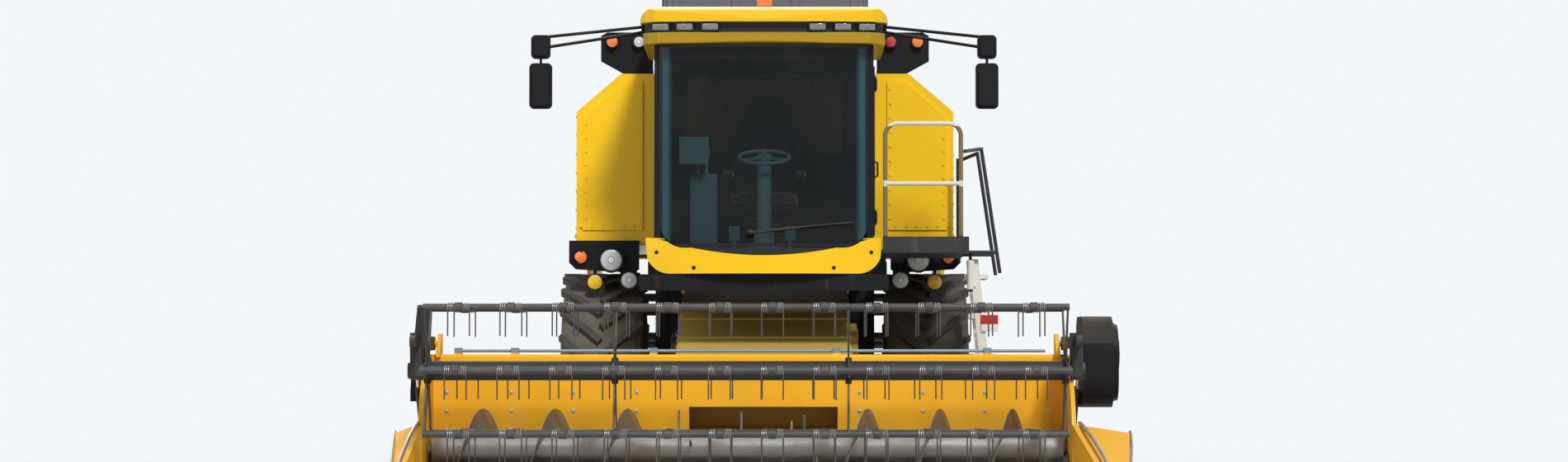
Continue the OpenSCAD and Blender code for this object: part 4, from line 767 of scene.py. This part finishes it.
def roof_lamps():
    b = Build()
    for x in (0.400, 0.590, 0.770):
        for s in SIDES:
            y = bowed(x, 0.895, 0.020)
            slope = Matrix.Rotation(s * x / 6.7, 3, "Z")
            b.box(s * x - 0.060, s * x + 0.060, y - 0.006, y + 0.004, 3.537, 3.587, 0.012, slope)
            for k in SIDES:
                b.lathe((s * x + k * 0.027, y - 0.006, 3.562), FORWARD,
                        [(0.0, 0.021), (0.003, 0.020), (0.005, 0.012), (0.0055, 0.0)], 24)
    b.done("roof_lamp_lenses", "dim", "chassis")


def round_lenses():
    x, z, r, y = CORNER_INNER
    corner = dome(r, 0.006, (0.006, 1), (0.012, 0.76), (0.014, 0))
    b = Build()
    for s in SIDES:
        for hx, hz, hr, hy in HEAD_LAMPS:
            b.lathe((s * hx, hy, hz), FORWARD,
                    dome(hr, 0.006, (0.006, 1), (0.014, 0.8), (0.019, 0.45), (0.021, 0)), 40)
    b.lathe((-x, y, z), FORWARD, corner, 32)
    b.done("head_lamp_lenses", "clear", "chassis")
    b = Build()
    for s in SIDES:
        for ix, iz, ir, iy in (BAR_INDICATOR, CORNER_OUTER):
            b.lathe((s * ix, iy, iz), FORWARD,
                    dome(ir, 0.004, (0.008, 1), (0.015, 0.7), (0.018, 0)), 32)
        b.lathe((s * 0.940, TAIL_Y, TAIL_Z), BACKWARD,
                dome(TAIL_R, 0.004, (0.006, 1), (0.012, 0.7), (0.014, 0)), 28)
    b.done("indicator_lenses", "amber", "chassis")
    b = Build()
    b.lathe((x, y, z), FORWARD, corner, 32)
    for s in SIDES:
        for tx in (0.830, 1.030):
            b.lathe((s * tx, TAIL_Y, TAIL_Z), BACKWARD,
                    dome(TAIL_R, 0.004, (0.006, 1), (0.012, 5 / 7), (0.014, 0)), 28)
    b.done("tail_lenses", "red", "chassis")


def beacon_dress():
    """Ribs round the dome, and the ring of screws under it."""
    mid_y = -1.1
    b = Build()
    for k in range(5):
        b.lathe((0, mid_y, 3.778 + k * 0.017), UP,
                [(0, 0.0595), (0.003, 0.0625), (0.006, 0.0625), (0.009, 0.0595)], 40)
    b.done("beacon_ribs", "amber", "chassis")
    b = Build()
    b.lathe((0, mid_y, 3.749), UP, [(0, 0.075), (0.012, 0.074), (0.02, 0.068)], 40)
    for k in range(4):
        a = k * PI / 2 + 0.4
        b.lathe((0.068 * math.cos(a), mid_y + 0.068 * math.sin(a), 3.757), UP,
                [(0, 0.006), (0.009, 0.006), (0.009, 0.0)], 6)
    b.done("beacon_ring", "plastic", "chassis")


roof_lamps()
round_lenses()
beacon_dress()


# Bolts
def bolt_rows(name, body, material, rows, r):
    """Hexagon heads on washers, in rows of (first, last, count, direction that they face)."""
    b = Build()
    for first, last, count, face in rows:
        a, c = Vector(first), Vector(last)
        for i in range(count):
            at = a.lerp(c, i / max(1, count - 1))
            b.lathe(at, face, [(-0.002, r * 1.5), (0.002, r * 1.5), (0.002, r)], 12)
            b.lathe(at, face, [(0.001, r), (r * 0.75, r), (r * 0.85, r * 0.8), (r * 0.85, 0.0)], 6)
    b.done(name, material, body, 30.0)


def mirrored(rows):
    """Rows of the left side, each followed by its mirror image on the right."""
    out = []
    for first, last, count, face in rows:
        for s in (1, -1):
            out.append(((s * first[0], *first[1:]), (s * last[0], *last[1:]), count,
                        (s * face[0], *face[1:])))
    return out


def body_bolts():
    x, y = PANEL_X + 0.009, TANK_Y
    rows = mirrored([
        ((x, -0.44, 2.062), (x, 1.44, 2.062), 16, LEFT),
        ((PANEL_X, 1.47, 2.12), (PANEL_X, 1.47, 2.70), 6, LEFT),
        ((1.030, y, 2.14), (1.440, y, 2.14), 6, FORWARD),
        ((1.405, y, 2.20), (1.405, y, 2.94), 8, FORWARD),
        ((0.985, y, 2.20), (0.985, y, 3.22), 10, FORWARD),
    ])
    # The left row ends lower, under the recess of the unloading auger
    rows += [((PANEL_X, -0.47, 2.12), (PANEL_X, -0.47, 2.70), 7, LEFT),
             ((-PANEL_X, -0.47, 2.12), (-PANEL_X, -0.47, 3.0), 7, RIGHT)]
    bolt_rows("tank_bolts", "chassis", "yellow", rows, 0.009)

    x = HOUSING_X
    rows = mirrored([((x, y, 1.22), (x, y, 1.90), 8, LEFT) for y in (0.44, 1.44, 2.10, 2.92)]
                    + [((x, -0.06, 1.95), (x, 3.22, 1.95), 22, LEFT),
                       ((0.740, -0.25, 1.07), (0.740, 3.95, 1.07), 20, LEFT)])
    bolt_rows("housing_bolts", "chassis", "steel", rows, 0.010)

    rows = mirrored([
        ((PANEL_X, 1.55, 2.02), (PANEL_X, 3.0, 2.02), 10, LEFT),
        ((0.772, 3.52, 1.44), (0.772, 4.66, 1.44), 8, LEFT),
        ((0.772, 3.16, 2.08), (0.772, 4.50, 2.08), 9, LEFT),
    ])
    rows.append(((-0.70, 1.52, 2.70), (0.70, 1.52, 2.70), 8, UP))
    bolt_rows("hood_bolts", "chassis", "steel", rows, 0.009)


def header_bolts():
    rows = [((x, WALL_Y, 0.30), (x, WALL_Y, 0.98), 6, FORWARD)
            for x in (-2.30, -1.83, -1.38, -0.92, 0.70, 1.16, 1.61, 2.07)]
    for face, x in ((LEFT, 2.205), (RIGHT, -2.425)):
        rows += [((x, -2.63, 0.28), (x, -2.63, 1.08), 7, face),
                 ((x, -3.50, 0.12), (x, -2.66, 0.12), 8, face)]
    rows.append(((-0.70, -2.60, 0.99), (0.70, -2.60, 0.99), 7, BACKWARD))
    bolt_rows("header_bolts", "header", "steel", rows, 0.010)
    rows = [((-0.662, -0.75, 1.39), (-0.662, -2.40, 0.952), 12, RIGHT)]
    rows += [((s * 0.70, -2.54, 0.40), (s * 0.70, -2.54, 0.94), 5, BACKWARD) for s in SIDES]
    bolt_rows("feeder_bolts", "header", "steel", rows, 0.011)
    knife = (-3.585, 0.130)
    rows = [((-2.260 + 0.76 * k, *knife), (-1.60 + 0.76 * k, *knife), 9, UP) for k in range(6)]
    bolt_rows("knife_bolts", "header", "steel", rows, 0.008)


body_bolts()
header_bolts()


# Reel: coil springs that carry the tines
def tine_springs():
    """A pair of coils wound round each bat at each pair of tines."""
    bats, pairs, pitch = 6, 12, 0.360
    inner, outer, coil, wire = 0.030, 0.075, 0.0285, 0.0042
    turns, steps = 3.25, 26
    b = Build()
    for bat in range(bats):
        y = REEL_Y + REEL_R * math.cos(2 * PI * bat / bats)
        z = REEL_Z + REEL_R * math.sin(2 * PI * bat / bats)
        for i in range(pairs):
            mid = (i - (pairs - 1) / 2) * pitch + HEADER_X
            for s in SIDES:
                pts = []
                for k in range(steps + 1):
                    t = k / steps
                    w = 2 * PI * turns * t + PI
                    pts.append((mid + s * (inner + (outer - inner) * t),
                                y + coil * math.cos(w), z + coil * math.sin(w)))
                b.tube(pts, wire, 5)
    b.done("tine_springs", "spring", "reel", 60.0)


tine_springs()


# Cab outside
def screen_front(x, off=0.0):
    """y of the curved windscreen's face at x, off in front of it."""
    return 0.320 - math.sqrt((2.400 + off) ** 2 - x * x)


def wiper():
    """Parked low across the screen."""
    b = Build()
    steps = [(0.02 + 0.064 * k, 2.045 + 0.006 * k) for k in range(11)]
    b.tube([(x, screen_front(x, 0.016), z) for x, z in steps], 0.0075, 8)
    b.tube([(x, screen_front(x, 0.006), z) for x, z in steps], 0.004, 6)
    b.tube([(x, screen_front(x, off), z) for x, off, z in
            ((-0.10, 0.030, 2.020), (0.10, 0.034, 2.045), (0.34, 0.022, 2.075))], 0.0065, 8)
    b.lathe((-0.10, screen_front(0.10), 2.020), FORWARD,
            [(0.0, 0.030), (0.018, 0.030), (0.030, 0.020), (0.042, 0.016), (0.046, 0.0)], 24)
    b.done("wiper", "plastic", "chassis")


def bumper_screws():
    """Square to the bumper's curved face."""
    rows = []
    for x, z in ((-0.80, 1.885), (-0.52, 1.768), (0.52, 1.768), (0.80, 1.885)):
        at = (x, screen_front(x, 0.055), z)
        rows.append((at, at, 1, (x, at[1] - 0.320, 0.0)))
    bolt_rows("chin_bolts", "chassis", "plastic", rows, 0.010)


def cab_trim():
    b = Build()
    for s in SIDES:
        for x0, x1, z0, z1 in ((1.588, 1.732, 2.963, 3.277), (1.601, 1.719, 3.335, 3.487)):
            b.side_box(s, x0, x1, -2.072, -2.0665, z0, z1, 0.0025)
    b.done("mirror_faces", "mirror", "chassis")
    # Seal round the right side pane
    b = Build()
    b.tube([(-0.812, y, z) for y, z in ((-1.900, 2.14), (-1.900, 3.35), (-0.750, 3.35),
                                        (-0.750, 2.14))], 0.009, 8, closed=True)
    b.done("side_seals", "plastic", "chassis")
    # Seal, lock plate and pull handle of the door
    b = Build()
    b.tube([(0.823, y, z) for y, z in ((-1.88, 2.02), (-1.88, 3.28), (-1.22, 3.28),
                                       (-1.22, 2.02))], 0.008, 8, closed=True)
    b.box(0.822, 0.834, -1.19, -1.15, 2.46, 2.64, 0.004)
    b.tube([(x, -1.17, z) for x, z in ((0.828, 2.62), (0.868, 2.60), (0.868, 2.50),
                                       (0.828, 2.48))], 0.008, 8)
    b.done("door_trim", "plastic", "cab_door")
    # Seal round the roof hatch
    b = Build()
    b.tube([(x, y, 3.765) for x, y in ((0.26, -1.54), (0.26, -1.25), (-0.26, -1.25),
                                       (-0.26, -1.54))], 0.005, 6, closed=True)
    b.done("hatch_seal", "plastic", "chassis")


wiper()
bumper_screws()
cab_trim()


# Cab inside
def cushion(name, x0, x1, y0, y1, z0, z1, face, tilt=0.0, seams=()):
    """Stuffed pad with round edges, which bulges along face and has sewn furrows across X."""
    power, crown, furrow_depth = 5.0, 0.010, 0.006
    bm = bmesh.new()
    bmesh.ops.create_cube(bm, size=2.0)
    bmesh.ops.subdivide_edges(bm, edges=bm.edges[:], cuts=19, use_grid_fill=True)
    mid = Vector(((x0 + x1) / 2, (y0 + y1) / 2, (z0 + z1) / 2))
    half = Vector(((x1 - x0) / 2, (y1 - y0) / 2, (z1 - z0) / 2))
    turn = Matrix.Rotation(tilt, 3, "X")
    face = Vector(face)
    for v in bm.verts:
        c = v.co.copy()
        length = c.y if face.z else c.z
        norm = sum(abs(k) ** power for k in c) ** (1 / power)
        u = c * (max(abs(k) for k in c) / norm)
        move = Vector()
        if c.dot(face) > 0.9:
            puff = (1 - c.x * c.x) * (1 - length * length)
            furrow = sum(math.exp(-((c.x - q) / 0.045) ** 2) for q in seams)
            cross = math.exp(-((length - 0.35) / 0.05) ** 2) if seams else 0.0
            move = face * (crown * puff - furrow_depth * min(1.0, furrow + cross))
        v.co = turn @ Vector((u.x * half.x, u.y * half.y, u.z * half.z)) + turn @ move + mid
    mesh = bpy.data.meshes.new(name)
    bmesh.ops.recalc_face_normals(bm, faces=bm.faces)
    bm.to_mesh(mesh)
    bm.free()
    mesh.transform(Matrix.Translation((0, SHIFT, 0)))
    for p in mesh.polygons:
        p.use_smooth = True
    mesh.materials.append(mats["seat"])
    obj = put(bpy.data.objects.new(name, mesh))
    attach(obj, "chassis")


def seat():
    seams = (-0.45, 0.45)
    cushion("seat_cushion", -0.255, 0.255, -1.285, -0.815, 2.252, 2.372, UP, 0.0, seams)
    cushion("seat_back", -0.245, 0.245, -0.878, -0.792, 2.385, 2.950, FORWARD, 0.03, seams)
    cushion("head_rest", -0.135, 0.135, -0.868, -0.795, 2.975, 3.115, FORWARD)
    for s, name in ((-1, "arm_rest_right"), (1, "arm_rest_left")):
        x = s * 0.278
        cushion(name, x - 0.040, x + 0.040, -1.232, -0.815, 2.484, 2.536, UP)
    # Foot, bellows, pan, back shell, arm brackets and rods
    b = Build()
    b.box(-0.190, 0.190, -1.220, -0.850, CAB_FLOOR, 1.960, 0.008)
    for k in range(7):
        z = 1.958 + k * 0.036
        b.box(-0.150, 0.150, -1.180, -0.880, z, z + 0.032, 0.014)
    b.box(-0.235, 0.235, -1.250, -0.830, 2.208, 2.256, 0.012)
    b.box(-0.200, 0.200, -0.812, -0.776, 2.300, 2.900, 0.010)
    for s in SIDES:
        b.side_box(s, 0.244, 0.296, -0.870, -0.800, 2.290, 2.490, 0.008)
        b.tube([(s * 0.06, -0.815, 2.90), (s * 0.06, -0.818, 2.99)], 0.007, 8)
    base = b.done("seat_base", "plastic", "chassis")
    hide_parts("seat")


def cab_inside():
    b = Build()
    b.box(-0.630, -0.430, -1.6135, -1.610, 2.572, 2.758, 0.0015)
    b.done("monitor_face", "display", "chassis")
    b = Build()
    for i in range(3):
        for k in range(4):
            x, y = -0.530 + i * 0.045, -1.10 + k * 0.06
            b.box(x, x + 0.030, y, y + 0.032, 2.499, 2.508, 0.003)
    b.lathe((-0.440, -1.402, 2.690), UP, [(0, 0.012), (0.006, 0.011), (0.008, 0.0)], 16)
    b.done("console_keys", "plastic", "chassis")
    b = Build()
    b.box(-0.700, 0.700, -1.900, -0.720, CAB_FLOOR, 1.926, 0.002)
    for k in range(12):
        y = -1.860 + k * 0.09
        b.box(-0.650, 0.650, y, y + 0.025, 1.925, 1.929, 0.001)
    b.done("floor_mat", "belt", "chassis")


seat()
cab_inside()


# Header and feeder
def feeder_pipes():
    """Fixed oil pipes with clamps along the feeder's right side."""
    b = Build()
    for k in range(3):
        x = -0.674 - 0.020 * k
        b.tube([(x, y, z) for y, z in ((-0.70, 1.300), (-0.80, 1.290), (-2.30, 0.890),
                                       (-2.44, 0.860), (-2.50, 0.80), (-2.50, 0.72))], 0.008, 10)
    b.done("feeder_pipes", "chrome", "header")
    b = Build()
    for t in (0.1, 0.36, 0.62, 0.9):
        y, z = -0.80 - 1.5 * t, 1.290 - 0.4 * t
        b.box(-0.730, -0.649, y - 0.02, y + 0.02, z - 0.016, z + 0.016, 0.003)
    b.box(-0.735, -0.649, -2.535, -2.465, 0.62, 0.73, 0.008)
    b.done("pipe_clamps", "plastic", "header")


def divider_tubes():
    """Two bent tubes along the upper edges of each divider, from its wall to its tip."""
    b = Build()
    for wall, tip, outer in ((2.230, 2.430, 2.585), (-2.425, -2.530, -2.585)):
        far = 2.55 if outer > 0 else -2.55
        b.tube(bezier((wall, -3.505, 0.632), (wall, -3.70, 0.640), (tip, -4.10, 0.36),
                      (tip, -4.385, 0.112), 16), 0.013, 10)
        b.tube(bezier((outer, -3.52, 0.572), (outer, -3.75, 0.50), (far, -4.15, 0.24),
                      (tip, -4.385, 0.104), 14), 0.010, 8)
    b.done("divider_tubes", "steel", "header")


def guard_caps():
    """Caps over the shafts behind the belt guard, each in a ring of screws."""
    x = 2.550
    b = Build()
    for y, z, r in ((-2.960, 1.120, 0.120), (-2.840, 0.900, 0.060)):
        b.lathe((x, y, z), LEFT, [(0, r * 0.35), (0.006, r * 0.35), (0.010, r * 0.2), (0.010, 0)],
                24)
        for k in range(6):
            a = k * PI / 3
            b.lathe((x + 0.001, y + r * 0.78 * math.cos(a), z + r * 0.78 * math.sin(a)), LEFT,
                    [(0, 0.007), (0.005, 0.007), (0.005, 0)], 6)
    b.done("guard_caps", "steel", "header")


feeder_pipes()
divider_tubes()
guard_caps()


# Belts in their own rubber, over the drives
def round_two(p, q, grow):
    """Outline round two pulleys of (y, z, radius)."""
    dy, dz = q[0] - p[0], q[1] - p[1]
    a = math.atan2(dz, dy)
    f = math.acos((p[2] - q[2]) / math.hypot(dy, dz))
    out = []
    for (cy, cz, r), start, end, n in ((p, a + f, a + 2 * PI - f, 28), (q, a - f, a + f, 18)):
        for i in range(n + 1):
            w = start + (end - start) * i / n
            out.append((cy + (r + grow) * math.cos(w), cz + (r + grow) * math.sin(w)))
    return out


def belts():
    """Both belt drives on each side: (y, z, radius) of the two pulleys."""
    drives = (((1.150, 1.500, 0.250), (1.850, 1.300, 0.165)),
              ((2.350, 1.640, 0.205), (2.650, 1.240, 0.090)))
    x0, x1, inner, outer = 1.0895, 1.1245, -0.0095, 0.011
    b = Build()
    for p, q in drives:
        for s in SIDES:
            rings = []
            for x, grow in ((x0, outer), (x1, outer), (x1, inner), (x0, inner)):
                rings.append([b.bm.verts.new((s * x, y, z)) for y, z in round_two(p, q, grow)])
            n = len(rings[0])
            for i in range(4):
                u, w = rings[i], rings[(i + 1) % 4]
                for k in range(n):
                    j = (k + 1) % n
                    b.bm.faces.new((u[k], u[j], w[j], w[k]))
    b.done("drive_belts", "belt", "chassis")


belts()


# Black sheets beside the feeder house that stand in for shade, and small fittings
def slot_shade_sheets():
    """Black sheets that close the slot between the frame's uprights and the front tyres, standing
    in for the shade in that slot.
    """
    x0, x1, x2 = 0.7402, 0.746, 0.860  # upright, flange and outer edge
    b = Build()
    for s in SIDES:
        b.side_box(s, x0, x1, -0.415, -0.345, 1.030, 1.700, 0.0015)
        b.side_box(s, x1, x2, -0.415, -0.411, 1.030, 1.700, 0.0015)
        b.side_box(s, x2, x2 - 0.004, -0.414, -0.385, 1.032, 1.698, 0.0012)
        for z in (1.16, 1.365, 1.57):
            b.side_box(s, x1 + 0.012, x2 - 0.012, -0.420, -0.414, z - 0.02, z + 0.02, 0.0025)
            b.lathe((s * x1, -0.380, z), (s, 0, 0),
                    [(0, 0.016), (0.003, 0.016), (0.003, 0.010), (0.010, 0.010), (0.010, 0)], 6)
    b.done("slot_shade_sheets", "black", "chassis", 30.0)


def tyre_valves():
    for end, x, (y, z), r in (("front", 1.20, FRONT_AXLE, 0.385),
                              ("rear", 1.27, REAR_AXLE, 0.285)):
        for s, side in ((1, "left"), (-1, "right")):
            out, up = s * (x + 0.085), z + r - 0.016
            b = Build()
            b.tube([(s * (x + 0.02), y, z + r), (s * (x + 0.05), y, z + r - 0.012), (out, y, up)],
                   0.005, 8)
            b.lathe((out, y, up), (s, 0, 0), [(0, 0.005), (0.002, 0.0075), (0.018, 0.0075),
                                              (0.022, 0)], 10)
            b.done(f"{end}_valve_{side}", "spring", f"{end}_wheel_{side}")


def latch(b, side, y, z, half, thick, drop):
    """Plate on a side panel, and a pull handle that hangs drop under the plate's middle."""
    foot, grip = side * (PANEL_X + thick - 0.004), side * (PANEL_X + thick + 0.012)
    low, high = z - drop, z - drop + 0.010
    b.side_box(side, PANEL_X, PANEL_X + thick, y - half, y + half, z - 0.02, z + 0.02, 0.004)
    b.tube([(foot, y - 0.7 * half, high), (grip, y - 0.5 * half, low),
            (grip, y + 0.5 * half, low), (foot, y + 0.7 * half, high)], 0.004, 6)


def latches():
    b = Build()
    for s in SIDES:
        for y in (1.66, 2.90):
            latch(b, s, y, 2.58, 0.04, 0.012, 0.015)
    b.done("hood_latches", "plastic", "chassis")
    for s, name, body in ((1, "shield_latches_left", "shield_left"),
                          (-1, "shield_latches_right", "shield_right")):
        b = Build()
        for y in (1.30, 2.50):
            latch(b, s, y, 1.185, 0.05, 0.010, 0.005)
        b.done(name, "plastic", body)


def fittings():
    # Rubber mouth of the unloading spout
    b = Build()
    b.lathe((1.220, 4.200, 2.652), DOWN,
            [(-0.03, 0.158), (0.0, 0.160), (0.006, 0.156), (0.006, 0.140), (-0.03, 0.138)], 40)
    b.done("spout_mouth", "belt", "unloading_auger")
    # Marker board beside the ladder
    b = Build()
    b.box(1.640, 1.770, -1.560, -1.548, 1.300, 1.480, 0.003)
    b.done("marker_board", "board", "ladder")
    # Yellow reflectors under the light bars, on their straps
    x, y = 1.33, -0.560
    b = Build()
    for s in SIDES:
        b.side_box(s, x - 0.012, x + 0.012, y, y + 0.006, 1.66, 1.80, 0.002)
    b.done("reflector_straps", "plastic", "chassis")
    b = Build()
    # The reflectors' faint glow is painted light
    for s in SIDES:
        b.lathe((s * x, y, 1.70), FORWARD, [(0, 0.056), (0.006, 0.056), (0.012, 0.046), (0.013, 0)],
                32)
    b.done("front_reflectors", "glowing_reflector", "chassis")


slot_shade_sheets()
tyre_valves()
latches()
fittings()
